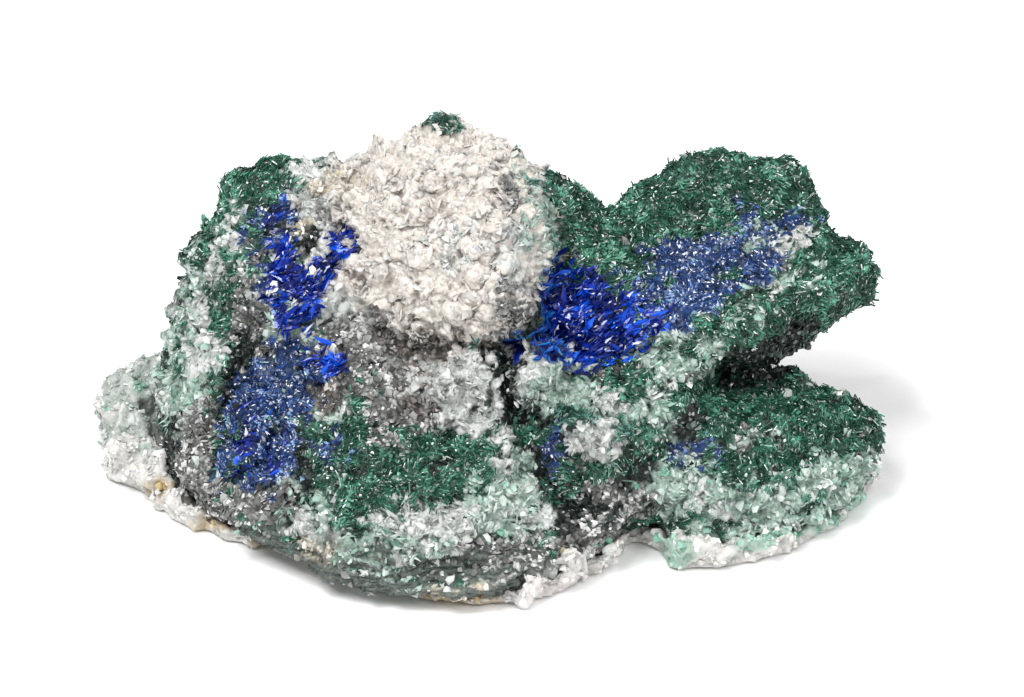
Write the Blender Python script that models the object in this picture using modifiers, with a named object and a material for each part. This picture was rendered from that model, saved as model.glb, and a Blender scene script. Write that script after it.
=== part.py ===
"""A linarite specimen: a wedge of grey layered rock on a base of milky quartz.

Its leaning face carries a mound of white crystals, patches of deep blue linarite blades, tufts of
white plates and a crust of green spikes. An arm and a lower lobe reach out to the right.

Lengths in the tables are millimetres. A point on the leaning face is (across, up, out): across the
specimen, up along the face, and out from it. A point given as (x, y, z) is across, back and height
above the table.
"""

import math
import random

import bmesh
import bpy
from mathutils import Matrix, Vector, noise
from mathutils.bvhtree import BVHTree

MM = 0.001
FACE_LEAN = math.radians(30)  # how far the crystal face leans back from upright
FACE_HEIGHT = 11.8  # height of the face frame's origin above the table
ROCK_FLOOR = 1.4  # height of the rock's underside, where the quartz base begins
SEAT_GAP = 0.5  # clearance between a growth and the rock that it sits on
ROCK_VOXEL = 0.62
GROWTH_VOXEL = 0.5
PAD_VOXEL = 0.36
ROCK_TRIANGLES = 1950
QUARTZ_TRIANGLES = 680
MOUND_TRIANGLES = 520
PAD_TRIANGLES = 80
CUTTER_TRIANGLES = 2000
PAD_LUMPS = 11  # rounded lumps that make up the pad under a cluster
PAD_SHARE = 0.30  # radius of such a lump as a share of its patch's width
PAD_HEIGHT = 1.45
CRYSTAL_SINK = 0.7  # how deep a crystal's foot lies in what it grows from
GOLDEN_ANGLE = math.radians(137.508)
RAY_START = 40.0  # distance out from the face where a line into it starts

# The rock, as overlapping angular blocks: corners on the leaning face, and corners behind or below it.
ROCK_BLOCKS = {
    "left_body": (
        [(-19.9, 14.0, -6.5), (-17.0, 14.4, -4.0), (-9.0, 14.8, -4.5), (-2.0, 14.0, -5.0),
         (-21.3, 10.6, -7.0), (-23.8, 5.0, -7.0), (-24.7, -2.8, -6.0), (-24.2, -6.7, -3.0),
         (-22.3, -9.7, 0.5), (-19.0, 2.5, -1.5), (-20.8, -8.8, 1.2), (-10.0, -10.0, 4.5),
         (0.0, -9.0, 5.0), (0.0, 4.0, 0.0)],
        [(-18.0, 15.0, 18.5), (-2.0, 16.0, 18.5), (-22.5, 12.0, 10.0), (-22.5, 12.0, 0.5),
         (-23.5, 2.0, 0.5), (0.0, 16.5, 0.5), (-20.5, -5.5, 0.5)],
    ),
    "front_shelf": (
        [(-22.3, -9.7, 0.5), (-17.8, -10.6, 3.0), (-14.0, -11.3, 5.0), (-11.9, -13.1, 6.5),
         (-10.4, -14.9, 8.5), (-6.6, -15.8, 9.2), (-2.0, -16.0, 9.3), (2.3, -15.0, 8.6),
         (6.0, -13.8, 7.0), (9.8, -11.9, 5.0), (12.0, -9.7, 3.0), (-12.0, -5.0, 3.0),
         (0.0, -4.0, 4.5), (8.0, -4.0, 3.0)],
        [(-21.0, 2.0, 0.5), (10.0, 2.0, 0.5), (-20.0, -5.5, 0.5), (-11.2, -15.6, 0.5),
         (-6.0, -18.0, 0.5), (-1.0, -18.0, 0.5), (5.0, -14.0, 0.5), (10.0, -7.0, 0.5)],
    ),
    "centre": (
        [(0.0, 0.5, 3.2), (5.0, 0.0, 2.5), (10.0, -1.0, 2.0), (15.5, -2.0, 2.5),
         (16.5, -4.5, 2.0), (13.0, -8.8, 3.4), (8.0, -11.0, 5.0), (2.0, -13.0, 7.0)],
        [(2.0, 12.0, 1.0), (14.0, 10.0, 1.0), (14.0, 10.0, 12.0), (2.0, 12.0, 14.0),
         (10.0, -7.0, 0.5), (12.0, -6.5, 0.5)],
    ),
    "saddle": (
        [(2.0, 15.0, -8.0), (5.3, 13.4, -8.5), (8.9, 11.6, -8.5), (13.5, 9.5, -7.0),
         (15.0, 6.0, -5.0), (9.0, 4.0, -4.6), (4.0, 6.0, -4.6), (4.0, -2.0, 1.0),
         (14.0, -1.5, 1.5)],
        [(-4.0, 16.0, 15.5), (9.0, 16.0, 13.2), (14.0, 15.0, 10.5), (-4.0, 15.5, 1.0),
         (14.0, 15.0, 1.0)],
    ),
    "arm": (
        [(8.7, 11.6, -8.7), (11.3, 13.0, -8.7), (15.0, 15.8, -9.0), (18.7, 16.0, -9.0),
         (22.7, 15.6, -9.0), (24.2, 14.1, -8.5), (25.8, 12.0, -7.5), (25.2, 4.6, -1.0), (20.2, 2.4, 1.0),
         (16.9, 0.2, 2.0), (15.5, -1.7, 2.5), (10.0, 6.0, -5.0), (11.0, 1.0, -1.0)],
        [(13.0, 17.0, 15.5), (22.0, 17.0, 16.5), (24.0, 14.0, 9.5), (22.0, 13.0, 6.0),
         (12.0, 16.0, 2.0), (20.0, 12.5, 3.0)],
    ),
    "arm_tip": (
        [(25.5, 11.2, -7.5), (28.1, 9.2, -6.5), (29.5, 6.6, -5.0), (28.4, 4.9, -4.5),
         (26.8, 4.0, -5.0), (24.0, 2.2, -5.0), (22.4, 0.2, -4.5), (24.5, 5.0, -0.8),
         (18.0, 2.0, 0.8), (17.0, -1.0, 1.5)],
        [(27.0, 12.0, 12.7), (28.3, 10.0, 13.6), (24.0, 13.0, 14.0), (22.0, 14.0, 8.3),
         (18.0, 14.0, 5.0)],
    ),
    "lower_lobe": (
        [(22.0, -0.8, -5.5), (23.2, -1.1, -6.0), (26.2, -2.1, -6.5), (28.6, -2.9, -6.5),
         (29.8, -3.4, -6.0), (30.1, -4.7, -5.5), (30.0, -6.2, -4.8), (29.3, -7.8, -4.0),
         (26.5, -8.8, -0.5), (22.5, -9.2, 2.0), (18.0, -9.0, 3.5), (13.0, -8.2, 3.5),
         (15.0, -3.0, 1.0)],
        [(28.3, -1.1, 0.5), (25.4, -5.1, 0.5), (22.5, -8.3, 0.5), (18.7, -9.9, 0.5),
         (13.6, -9.8, 0.5), (12.0, -6.0, 0.5), (28.0, 4.3, 0.5), (21.0, 8.0, 0.5),
         (28.5, 4.3, 4.6), (12.0, 8.0, 0.5)],
    ),
}

# The quartz base seen from above, anticlockwise from the left end: (x, y).
BASE_OUTLINE = [
    (-29.4, 5.5), (-28.9, 2.6), (-26.8, 1.0), (-25.3, -0.8), (-23.8, -4.2), (-20.8, -5.6),
    (-17.8, -7.3), (-14.9, -8.1), (-13.0, -10.6), (-11.2, -12.6), (-8.8, -14.2), (-5.9, -15.0),
    (-1.0, -15.0), (2.8, -16.0), (4.8, -14.5), (7.5, -11.7), (9.2, -10.2), (10.4, -7.0),
    (12.1, -7.0), (13.0, -10.9), (16.5, -11.2), (19.5, -10.0), (22.5, -8.5), (25.4, -5.2),
    (28.3, -1.3), (29.3, 2.3), (28.6, 5.0), (23.0, 8.0), (21.0, 13.0), (10.0, 15.5),
    (-5.0, 16.2), (-19.0, 13.5), (-26.5, 12.0), (-29.2, 9.0),
]
BASE_DEPTH = 2.2  # thickness of the quartz sheet that the rock is set in
BASE_ALLOWANCE = 1.0  # how far the sheet starts below the table, before it is cut off level

# Lumps of quartz that stand out of the base: centre (x, y, z) and radii.
QUARTZ_LUMPS = [
    ((-27.2, 7.6, 3.0), (2.6, 4.2, 3.1)),
    ((-25.2, 9.0, 4.3), (2.6, 3.4, 2.3)),
    ((-26.6, 3.6, 1.9), (2.2, 2.6, 2.3)),
    ((-24.6, 0.6, 1.6), (2.0, 2.6, 2.0)),
    ((-22.3, -3.2, 1.2), (2.2, 2.2, 1.7)),
    ((-19.0, -5.6, 0.9), (2.2, 1.5, 1.3)),
    ((-15.4, -6.9, 0.8), (2.0, 1.4, 1.2)),
    ((2.2, -14.5, 1.5), (2.6, 1.9, 1.9)),
    ((5.4, -12.4, 1.9), (2.6, 2.0, 2.2)),
    ((8.3, -9.9, 2.0), (2.0, 2.0, 2.2)),
    ((-1.6, -15.4, 0.6), (2.6, 1.4, 1.0)),
    ((14.3, -9.6, 1.0), (1.6, 1.5, 1.5)),
]

# The white mound, as one rounded block in face coordinates, with the corners behind it.
MOUND_CORNERS = (
    [(-3.3, 18.5, -6.5), (-6.5, 17.4, -6.0), (-10.3, 15.4, -5.4), (-11.2, 13.6, -4.0),
     (-10.8, 9.0, -1.5), (-10.2, 5.5, 0.2), (-8.3, 2.8, 1.8), (-5.0, 1.4, 2.8),
     (0.0, 1.2, 3.4), (3.1, 2.0, 2.8), (4.0, 5.0, 1.2), (4.1, 10.0, -1.0),
     (3.8, 13.3, -3.5), (2.2, 15.5, -5.5), (-0.5, 17.2, -6.5), (-3.5, 13.0, 0.6),
     (-5.5, 8.5, 3.2), (-1.0, 8.5, 4.2), (1.2, 5.0, 4.4), (-4.5, 5.0, 4.2), (0.0, 12.0, 1.8)],
    [(-9.0, 14.0, 17.0), (2.5, 14.0, 17.0), (-7.0, 14.6, 20.0), (0.5, 14.8, 21.2),
     (-9.0, 5.0, 12.0), (3.5, 5.0, 12.0)],
)

# Grooves (depth above zero) and swells (below zero) of the rock's face: both ends as (across, up),
# half width and depth.
FACE_FEATURES = {
    "left_step": ((-18.3, 2.6), (-19.6, -5.4), 0.8, 1.5),
    "left_pocket": ((-14.4, 8.2), (-13.2, 7.2), 0.8, 1.2),
    "centre_crevice": ((1.6, 0.6), (2.6, -7.6), 0.8, 2.1),
    "foot_crevice": ((3.6, -8.4), (7.6, -10.2), 1.1, 1.6),
    "arm_root_hollow": ((16.6, -1.4), (21.0, -2.2), 1.3, 1.8),
    "valley": ((3.6, 8.0), (8.0, 2.6), 2.0, 1.3),
    "lobe_root_groove": ((11.6, -3.4), (15.4, -7.8), 0.9, 1.0),
    "left_ridge": ((-20.4, 9.0), (-21.6, -3.0), 1.2, -0.8),
    "arm_crest": ((17.0, 1.4), (27.6, 6.6), 1.2, -0.7),
    "shelf_swell": ((-9.0, -9.2), (-2.0, -10.6), 3.2, -1.3),
    "centre_swell": ((6.0, -4.2), (12.0, -3.4), 2.0, -0.7),
    "under_mound_swell": ((-8.0, -2.4), (-3.0, -2.8), 1.8, -0.6),
}

# How each kind of crystal grows: sides, half width, half depth, width left at the tip as a share of
# the foot, and greatest lean from the surface's normal in degrees.
HABITS = {
    "blade": (4, 0.72, 0.34, 0.5, 34),
    "plate": (4, 0.95, 0.26, 0.75, 44),
    "spike": (4, 0.74, 0.64, 0.0, 34),
    "grain": (4, 0.85, 0.75, 0.6, 50),
    "block": (6, 1.0, 0.85, 0.45, 36),
}

# Clusters that sit on the rock: habit, finish, then centre (across, up) on the face, length and
# width of the patch, its turn in degrees, crystal count and crystal length.
CLUSTERS = {
    "linarite_centre": ("blade", "blue_crystal", (7.4, 3.1), 9.4, 6.4, -28, 22, 1.2),
    "linarite_upper_left": ("blade", "blue_crystal", (-14.2, 6.0), 8.8, 4.4, 80, 16, 1.1),
    "linarite_middle": ("blade", "blue_crystal", (-11.9, -0.3), 3.2, 3.0, 10, 5, 1.0),
    "linarite_lower_left": ("blade", "blue_crystal", (-17.9, -5.4), 7.6, 4.4, 75, 14, 1.0),
    "white_tuft_centre": ("plate", "white_crystal", (-1.9, -2.2), 6.2, 4.6, 80, 13, 1.5),
    "white_tuft_right": ("plate", "white_crystal", (3.7, -1.0), 4.6, 3.4, 70, 8, 1.4),
    "white_tuft_lower_right": ("plate", "white_crystal", (7.8, -5.3), 5.2, 3.4, -20, 10, 1.4),
    "white_tuft_lower": ("plate", "white_crystal", (-4.4, -12.9), 7.0, 3.0, 4, 10, 1.3),
}
GREEN_KNOB = ("spike", "green_crystal", (-3.2, 17.1), 1.5, 1.3, 0, 4, 0.7)

# Fields of single crystals fused to the body they grow from: habit, patch centre on the face, length,
# width and turn of the patch, crystal count and crystal length.
ROCK_FIELDS = {
    "arm_spikes": ("spike", (18.0, 9.5), 15.0, 9.0, 20, 26, 1.7),
    "lobe_spikes": ("spike", (22.0, -5.0), 12.0, 4.4, 8, 14, 1.8),
    "shelf_spikes": ("spike", (-6.0, -8.4), 15.0, 4.6, -6, 14, 1.8),
    "left_spikes": ("spike", (-21.6, 6.0), 11.0, 2.6, 82, 7, 1.7),
    "saddle_spikes": ("spike", (8.6, 8.8), 6.4, 3.4, -30, 8, 1.9),
}
MOUND_FIELDS = {
    "mound_grains": ("grain", (-3.4, 8.6), 16.0, 13.0, 78, 29, 0.9),
}
CLEAR_OF_PATCH = 1.25  # fields keep out of each cluster's patch grown by this factor
BLOCK_LENGTH = 1.8

FINISHES = {
    "grey_rock": ((0.22, 0.24, 0.23), 0.75),
    "milky_quartz": ((0.78, 0.76, 0.72), 0.35),
    "white_crystal": ((0.82, 0.79, 0.74), 0.40),
    "blue_crystal": ((0.01, 0.03, 0.38), 0.30),
    "green_crystal": ((0.05, 0.30, 0.17), 0.40),
}


def on_face(across, up, out):
    """A point of the leaning face frame, as a world point in metres."""
    back = up * math.sin(FACE_LEAN) - out * math.cos(FACE_LEAN)
    height = up * math.cos(FACE_LEAN) + out * math.sin(FACE_LEAN) + FACE_HEIGHT
    return Vector((across, back, height)) * MM


FACE_OUT = Vector((0.0, -math.cos(FACE_LEAN), math.sin(FACE_LEAN)))


def clear_scene():
    for old in list(bpy.data.objects):
        bpy.data.objects.remove(old, do_unlink=True)


def new_collection(name, shown):
    group = bpy.data.collections.new(name)
    bpy.context.scene.collection.children.link(group)
    group.hide_render = not shown
    return group


def finish_of(name):
    """The material of that name, made once."""
    if name in bpy.data.materials:
        return bpy.data.materials[name]
    colour, roughness = FINISHES[name]
    made = bpy.data.materials.new(name)
    made.use_nodes = True
    shader = made.node_tree.nodes["Principled BSDF"]
    shader.inputs["Base Color"].default_value = (*colour, 1.0)
    shader.inputs["Roughness"].default_value = roughness
    return made


def to_object(bm, name, group, finish=None):
    """Writes a bmesh to a new object in that collection, and frees it."""
    mesh = bpy.data.meshes.new(name)
    bm.to_mesh(mesh)
    bm.free()
    made = bpy.data.objects.new(name, mesh)
    group.objects.link(made)
    if finish:
        mesh.materials.append(finish_of(finish))
    return made


def add_hull(bm, points):
    """Adds the convex hull of these points to the bmesh."""
    corners = [bm.verts.new(point) for point in points]
    made = bmesh.ops.convex_hull(bm, input=corners)
    loose = [v for v in made["geom_interior"] if isinstance(v, bmesh.types.BMVert)]
    bmesh.ops.delete(bm, geom=loose, context="VERTS")


def add_lump(bm, centre, radii):
    """Adds an ellipsoid, centre and radii in millimetres."""
    placed = Matrix.Translation(Vector(centre) * MM) @ Matrix.Diagonal((*(r * MM for r in radii), 1.0))
    bmesh.ops.create_icosphere(bm, subdivisions=2, radius=1.0, matrix=placed)


def applied(obj, kind, **settings):
    """Adds a modifier, and puts its result in the object's own mesh."""
    modifier = obj.modifiers.new(kind.title(), kind)
    for key, value in settings.items():
        setattr(modifier, key, value)
    graph = bpy.context.evaluated_depsgraph_get()
    result = bpy.data.meshes.new_from_object(obj.evaluated_get(graph))
    obj.modifiers.clear()
    old, obj.data = obj.data, result
    bpy.data.meshes.remove(old)
    return obj


def thinned(obj, triangles):
    """Collapses the mesh to about that many triangles, which leaves flat broken facets."""
    obj.data.calc_loop_triangles()
    share = triangles / max(len(obj.data.loop_triangles), 1)
    return applied(obj, "DECIMATE", ratio=min(1.0, share), use_collapse_triangulate=True)


def displaced(obj, amount):
    """Moves each vertex along its normal by amount(point, normal), both in millimetres."""
    bm = bmesh.new()
    bm.from_mesh(obj.data)
    bm.normal_update()
    moves = [(v, v.normal.copy(), amount(v.co / MM, v.normal)) for v in bm.verts]
    for vertex, normal, distance in moves:
        vertex.co += normal * distance * MM
    bm.to_mesh(obj.data)
    bm.free()
    return obj


def trimmed(obj, height):
    """Cuts the object off level at that height and closes the cut."""
    bm = bmesh.new()
    bm.from_mesh(obj.data)
    cut = bmesh.ops.bisect_plane(
        bm,
        geom=[*bm.verts, *bm.edges, *bm.faces],
        dist=1e-7,
        plane_co=(0.0, 0.0, height * MM),
        plane_no=(0.0, 0.0, -1.0),
        clear_outer=True,
    )
    rim = [e for e in cut["geom_cut"] if isinstance(e, bmesh.types.BMEdge)]
    bmesh.ops.holes_fill(bm, edges=rim)
    bmesh.ops.triangulate(bm, faces=[f for f in bm.faces if len(f.verts) > 3])
    bmesh.ops.recalc_face_normals(bm, faces=bm.faces)
    bm.to_mesh(obj.data)
    bm.free()
    return obj


def keep_largest_body(obj):
    """Drops the chips that a cut leaves beside the main body, also those that touch it at a point."""
    bm = bmesh.new()
    bm.from_mesh(obj.data)
    unseen, bodies = set(bm.faces), []
    while unseen:
        body, rim = set(), [unseen.pop()]
        while rim:
            face = rim.pop()
            body.add(face)
            sides = [edge for edge in face.edges if len(edge.link_faces) == 2]
            near = {other for edge in sides for other in edge.link_faces} & unseen
            unseen -= near
            rim.extend(near)
        bodies.append(body)
    largest = max(bodies, key=len)
    bmesh.ops.delete(bm, geom=[f for f in bm.faces if f not in largest], context="FACES")
    bm.to_mesh(obj.data)
    bm.free()
    return obj


def face_place(point):
    """Across and up on the leaning face of a world point in millimetres."""
    up = point.y * math.sin(FACE_LEAN) + (point.z - FACE_HEIGHT) * math.cos(FACE_LEAN)
    return Vector((point.x, up))


def face_feature_height(point, normal):
    """How far the grooves and swells of the face move this point, in millimetres."""
    facing = max(0.0, normal.dot(FACE_OUT)) ** 0.5
    place, height = face_place(point), 0.0
    for start, end, half_width, depth in FACE_FEATURES.values():
        first, along = Vector(start), Vector(end) - Vector(start)
        share = min(1.0, max(0.0, (place - first).dot(along) / along.length_squared))
        away = (place - first - along * share).length / half_width
        height -= depth * math.exp(-away * away)
    return facing * height


def rock_relief(point, normal):
    """Lumps, pits, level ledges and face features of the rock, in millimetres."""
    lumps = 0.75 * noise.noise(point * 0.16)
    knobs = 0.45 * noise.noise(point * 0.42 + Vector((7.0, 3.0, 1.0)))
    pits = -0.9 * max(0.0, noise.noise(point * 0.27 + Vector((2.0, 9.0, 4.0))) - 0.25)
    side = max(0.0, 1.0 - 1.6 * abs(normal.z)) * max(0.0, 1.0 - max(0.0, point.z - 5.0) / 4.0)
    bed = point.z * 0.9 + 0.35 * noise.noise(point * 0.2)
    ledges = 0.35 * side * (1.0 if bed % 1.6 < 0.8 else -1.0)
    rear = 1.5 * max(0.0, normal.y) * noise.noise(point * 0.17 + Vector((4.0, 1.0, 8.0)))
    level = 0.0 if normal.z < -0.7 else 1.0
    return level * (lumps + knobs + pits + ledges + rear) + face_feature_height(point, normal)


def quartz_relief(point, normal):
    """Blunt cells of the quartz base, in millimetres."""
    cell = noise.voronoi(point * 0.42)[0]
    return 0.5 * (cell[1] - cell[0]) - 0.25 + 0.25 * noise.noise(point * 0.5)


def mound_relief(point, normal):
    """Grainy bulges of the white mound, in millimetres."""
    cell = noise.voronoi(point * 0.55)[0]
    return 0.55 * (cell[1] - cell[0]) - 0.2 + 0.5 * noise.noise(point * 0.2)


def surface_tree(obj):
    bm = bmesh.new()
    bm.from_mesh(obj.data)
    tree = BVHTree.FromBMesh(bm)
    bm.free()
    return tree


def patch_places(centre, length, width, turn, count):
    """Places spread evenly over an elliptical patch of the face, as (across, up)."""
    turned = Matrix.Rotation(math.radians(turn), 2)
    places = []
    for i in range(count):
        share = math.sqrt((i + 0.5) / count)
        along = share * length / 2 * math.cos(i * GOLDEN_ANGLE)
        aside = share * width / 2 * math.sin(i * GOLDEN_ANGLE)
        places.append(Vector(centre) + turned @ Vector((along, aside)))
    return places


def in_cluster(place):
    """Whether that place of the face lies in or near the patch of a cluster."""
    for _, _, centre, length, width, turn, _, _ in CLUSTERS.values():
        away = Matrix.Rotation(-math.radians(turn), 2) @ (place - Vector(centre))
        reach = Vector((2 * away.x / length, 2 * away.y / width)).length
        if reach < CLEAR_OF_PATCH:
            return True
    return False


def upright(normal):
    """The turn that stands the Z axis along that normal."""
    return normal.to_track_quat("Z", "Y").to_matrix().to_4x4()


def add_crystal(bm, point, normal, habit, length, chance):
    """Adds one crystal to the bmesh: a flattened prism that narrows from its sunk foot to its tip."""
    sides, half_width, half_depth, tip, lean = HABITS[habit]
    size = chance.uniform(0.75, 1.15)
    leaning = Matrix.Rotation(math.radians(lean) * chance.uniform(-1, 1), 4, "X")
    swaying = Matrix.Rotation(math.radians(lean) * chance.uniform(-1, 1), 4, "Y")
    spinning = Matrix.Rotation(chance.uniform(0, math.tau), 4, "Z")
    whole = (length * size + CRYSTAL_SINK) * MM
    lifted = Matrix.Translation((0.0, 0.0, whole / 2 - CRYSTAL_SINK * MM))
    shaped = Matrix.Diagonal((half_width * size * MM, half_depth * size * MM, whole, 1.0))
    placed = Matrix.Translation(point) @ upright(normal) @ leaning @ swaying @ spinning @ lifted
    bmesh.ops.create_cone(
        bm, cap_ends=True, segments=sides, radius1=1.0, radius2=tip, depth=1.0, matrix=placed @ shaped
    )


def fuse_crystals(body, seats, habit, length):
    """Grows a crystal at each seat (point, normal) of the body, all in one solid with it."""
    chance = random.Random(f"{body.name} {habit}")
    grown = bpy.data.collections.new(f"{body.name}_crystals")
    bpy.context.scene.collection.children.link(grown)
    for point, normal in seats:
        bm = bmesh.new()
        add_crystal(bm, point, normal, habit, length, chance)
        to_object(bm, f"{body.name}_crystal", grown)
    applied(body, "BOOLEAN", operation="UNION", solver="EXACT", operand_type="COLLECTION", collection=grown)
    for crystal in list(grown.objects):
        bpy.data.objects.remove(crystal, do_unlink=True)
    bpy.data.collections.remove(grown)
    return keep_largest_body(body)


def seats_on(tree, places):
    """Where lines straight into the face at these places meet the surface, with its normals."""
    seats = []
    for place in places:
        point, normal, _, _ = tree.ray_cast(on_face(*place, RAY_START), -FACE_OUT)
        if point:
            seats.append((point, normal))
    return seats


def grow_field(body, tree, habit, centre, length, width, turn, count, crystal_length):
    """Fuses a field of single crystals to the body, clear of the clusters."""
    places = [p for p in patch_places(centre, length, width, turn, count) if not in_cluster(p)]
    return fuse_crystals(body, seats_on(tree, places), habit, crystal_length)


def make_rock(group):
    """The grey rock: blocks fused in one mass, weathered, broken into facets and set level."""
    bm = bmesh.new()
    for face_corners, rear_corners in ROCK_BLOCKS.values():
        rear = [Vector(corner) * MM for corner in rear_corners]
        add_hull(bm, [on_face(*corner) for corner in face_corners] + rear)
    rock = to_object(bm, "host_rock", group, "grey_rock")
    applied(rock, "REMESH", mode="VOXEL", voxel_size=ROCK_VOXEL * MM)
    displaced(rock, rock_relief)
    thinned(rock, ROCK_TRIANGLES)
    return trimmed(rock, ROCK_FLOOR)


def make_seat_cutter(body, helpers):
    """The body swollen by the seat gap, which the growths on it are cut back to."""
    bm = bmesh.new()
    bm.from_mesh(body.data)
    swollen = to_object(bm, f"{body.name}_seat_cutter", helpers)
    applied(swollen, "REMESH", mode="VOXEL", voxel_size=GROWTH_VOXEL * MM)
    displaced(swollen, lambda point, normal: SEAT_GAP)
    applied(swollen, "REMESH", mode="VOXEL", voxel_size=GROWTH_VOXEL * MM)
    thinned(swollen, CUTTER_TRIANGLES)
    swollen.hide_render = True
    swollen.display_type = "WIRE"
    return swollen


def cut_back(growth, cutters):
    """Removes from a growth what reaches into each swollen body, and any chips."""
    for cutter in cutters:
        applied(growth, "BOOLEAN", operation="DIFFERENCE", solver="EXACT", object=cutter)
    return keep_largest_body(growth)


def base_sheet():
    """The flat sheet of the base as a bmesh, a little deeper than the part of it that is kept."""
    outline = bpy.data.curves.new("base_outline", "CURVE")
    outline.dimensions = "2D"
    outline.fill_mode = "BOTH"
    outline.extrude = (BASE_DEPTH + BASE_ALLOWANCE) / 2 * MM
    spline = outline.splines.new("POLY")
    spline.points.add(len(BASE_OUTLINE) - 1)
    for point, (x, y) in zip(spline.points, BASE_OUTLINE):
        point.co = (x * MM, y * MM, 0.0, 1.0)
    spline.use_cyclic_u = True
    guide = bpy.data.objects.new("base_outline", outline)
    bpy.context.scene.collection.objects.link(guide)
    graph = bpy.context.evaluated_depsgraph_get()
    sheet = bpy.data.meshes.new_from_object(guide.evaluated_get(graph))
    bm = bmesh.new()
    bm.from_mesh(sheet)
    bpy.data.objects.remove(guide, do_unlink=True)
    bmesh.ops.remove_doubles(bm, verts=bm.verts, dist=1e-7)
    bmesh.ops.translate(bm, verts=bm.verts, vec=(0.0, 0.0, (BASE_DEPTH - BASE_ALLOWANCE) / 2 * MM))
    return bm


def make_quartz(group, seat_cutter):
    """The quartz base: a thin sheet under the rock, with lumps and blunt crystals along its rim."""
    bm = base_sheet()
    for centre, radii in QUARTZ_LUMPS:
        add_lump(bm, centre, radii)
    quartz = to_object(bm, "quartz_base", group, "milky_quartz")
    applied(quartz, "REMESH", mode="VOXEL", voxel_size=GROWTH_VOXEL * MM)
    displaced(quartz, quartz_relief)
    thinned(quartz, QUARTZ_TRIANGLES)
    tree, chance, seats = surface_tree(quartz), random.Random("quartz blocks"), []
    for centre, radii in QUARTZ_LUMPS:
        away = Vector((chance.uniform(-1, 1), chance.uniform(-1, 0.2), chance.uniform(0.3, 1)))
        point, normal, _, _ = tree.find_nearest((Vector(centre) + away * max(radii)) * MM)
        seats.append((point, normal))
    fuse_crystals(quartz, seats, "block", BLOCK_LENGTH)
    trimmed(quartz, 0.0)
    return cut_back(quartz, [seat_cutter])


def make_mound(group, seat_cutter):
    """The white mound: one swelling block of grains that wraps the top of the face."""
    face_corners, rear_corners = MOUND_CORNERS
    bm = bmesh.new()
    rear = [Vector(corner) * MM for corner in rear_corners]
    add_hull(bm, [on_face(*corner) for corner in face_corners] + rear)
    mound = to_object(bm, "white_mound", group, "white_crystal")
    applied(mound, "REMESH", mode="VOXEL", voxel_size=GROWTH_VOXEL * MM)
    displaced(mound, mound_relief)
    thinned(mound, MOUND_TRIANGLES)
    tree = surface_tree(mound)
    for field in MOUND_FIELDS.values():
        grow_field(mound, tree, *field)
    return cut_back(mound, [seat_cutter])


def make_cluster(name, spec, group, tree, cutters):
    """A cluster of crystals on a low pad, as one solid that follows the surface under it."""
    habit, finish, centre, length, width, turn, count, crystal_length = spec
    radius = PAD_SHARE * width
    bm = bmesh.new()
    places = patch_places(centre, length - radius, width - radius, turn, PAD_LUMPS)
    for point, normal in seats_on(tree, places):
        shape = Matrix.Diagonal((radius * MM, radius * MM, PAD_HEIGHT * MM, 1.0))
        placed = Matrix.Translation(point) @ upright(normal) @ shape
        bmesh.ops.create_icosphere(bm, subdivisions=2, radius=1.0, matrix=placed)
    cluster = to_object(bm, name, group, finish)
    applied(cluster, "REMESH", mode="VOXEL", voxel_size=PAD_VOXEL * MM)
    thinned(cluster, PAD_TRIANGLES)
    keep_largest_body(cluster)
    seats = seats_on(surface_tree(cluster), patch_places(centre, length, width, turn, count))
    fuse_crystals(cluster, seats, habit, crystal_length)
    return cut_back(cluster, cutters)


def main():
    clear_scene()
    specimen = new_collection("linarite_specimen", True)
    helpers = new_collection("cutters", False)
    rock = make_rock(specimen)
    rock_seat = make_seat_cutter(rock, helpers)
    rock_tree = surface_tree(rock)
    for field in ROCK_FIELDS.values():
        grow_field(rock, rock_tree, *field)
    make_quartz(specimen, rock_seat)
    mound = make_mound(specimen, rock_seat)
    mound_seat = make_seat_cutter(mound, helpers)
    for name, spec in CLUSTERS.items():
        make_cluster(name, spec, specimen, rock_tree, [rock_seat, mound_seat])
    make_cluster("green_knob", GREEN_KNOB, specimen, surface_tree(mound), [rock_seat, mound_seat])


main()
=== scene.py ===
"""The looks of a linarite specimen: skins over its solids, and the crystals that grow on them.

Lengths are millimetres unless a name or a comment says otherwise. A place on the leaning crystal
face is given as across and up, measured from the middle of the face.
"""

import logging
import math
from dataclasses import dataclass, field
from enum import Enum
from typing import Callable

import bmesh
import bpy
import numpy as np
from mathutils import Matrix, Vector, noise
from mathutils.bvhtree import BVHTree

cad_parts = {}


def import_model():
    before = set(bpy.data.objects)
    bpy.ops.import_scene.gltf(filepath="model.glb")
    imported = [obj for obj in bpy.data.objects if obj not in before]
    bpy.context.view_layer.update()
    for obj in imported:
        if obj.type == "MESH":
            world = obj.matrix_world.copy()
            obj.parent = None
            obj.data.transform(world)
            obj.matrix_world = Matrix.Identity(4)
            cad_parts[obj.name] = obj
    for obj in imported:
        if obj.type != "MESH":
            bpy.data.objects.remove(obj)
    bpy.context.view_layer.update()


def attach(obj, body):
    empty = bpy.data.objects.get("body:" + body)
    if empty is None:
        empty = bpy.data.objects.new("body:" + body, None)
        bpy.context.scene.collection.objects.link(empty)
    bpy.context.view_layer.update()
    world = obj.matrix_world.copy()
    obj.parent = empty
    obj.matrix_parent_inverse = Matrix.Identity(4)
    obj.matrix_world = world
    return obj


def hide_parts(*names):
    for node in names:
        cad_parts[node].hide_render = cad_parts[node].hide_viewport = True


LOG = logging.getLogger("linarite")
MM = 0.001
BODY = "root"
FLOOR_CLEARANCE = 0.02
MERGE_DISTANCE_M = 1e-6
BAKE_MAP = "OFBake"

Colour = tuple[float, float, float]
Array = np.ndarray
OverSurface = Callable[[Array, Array], Array]


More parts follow.
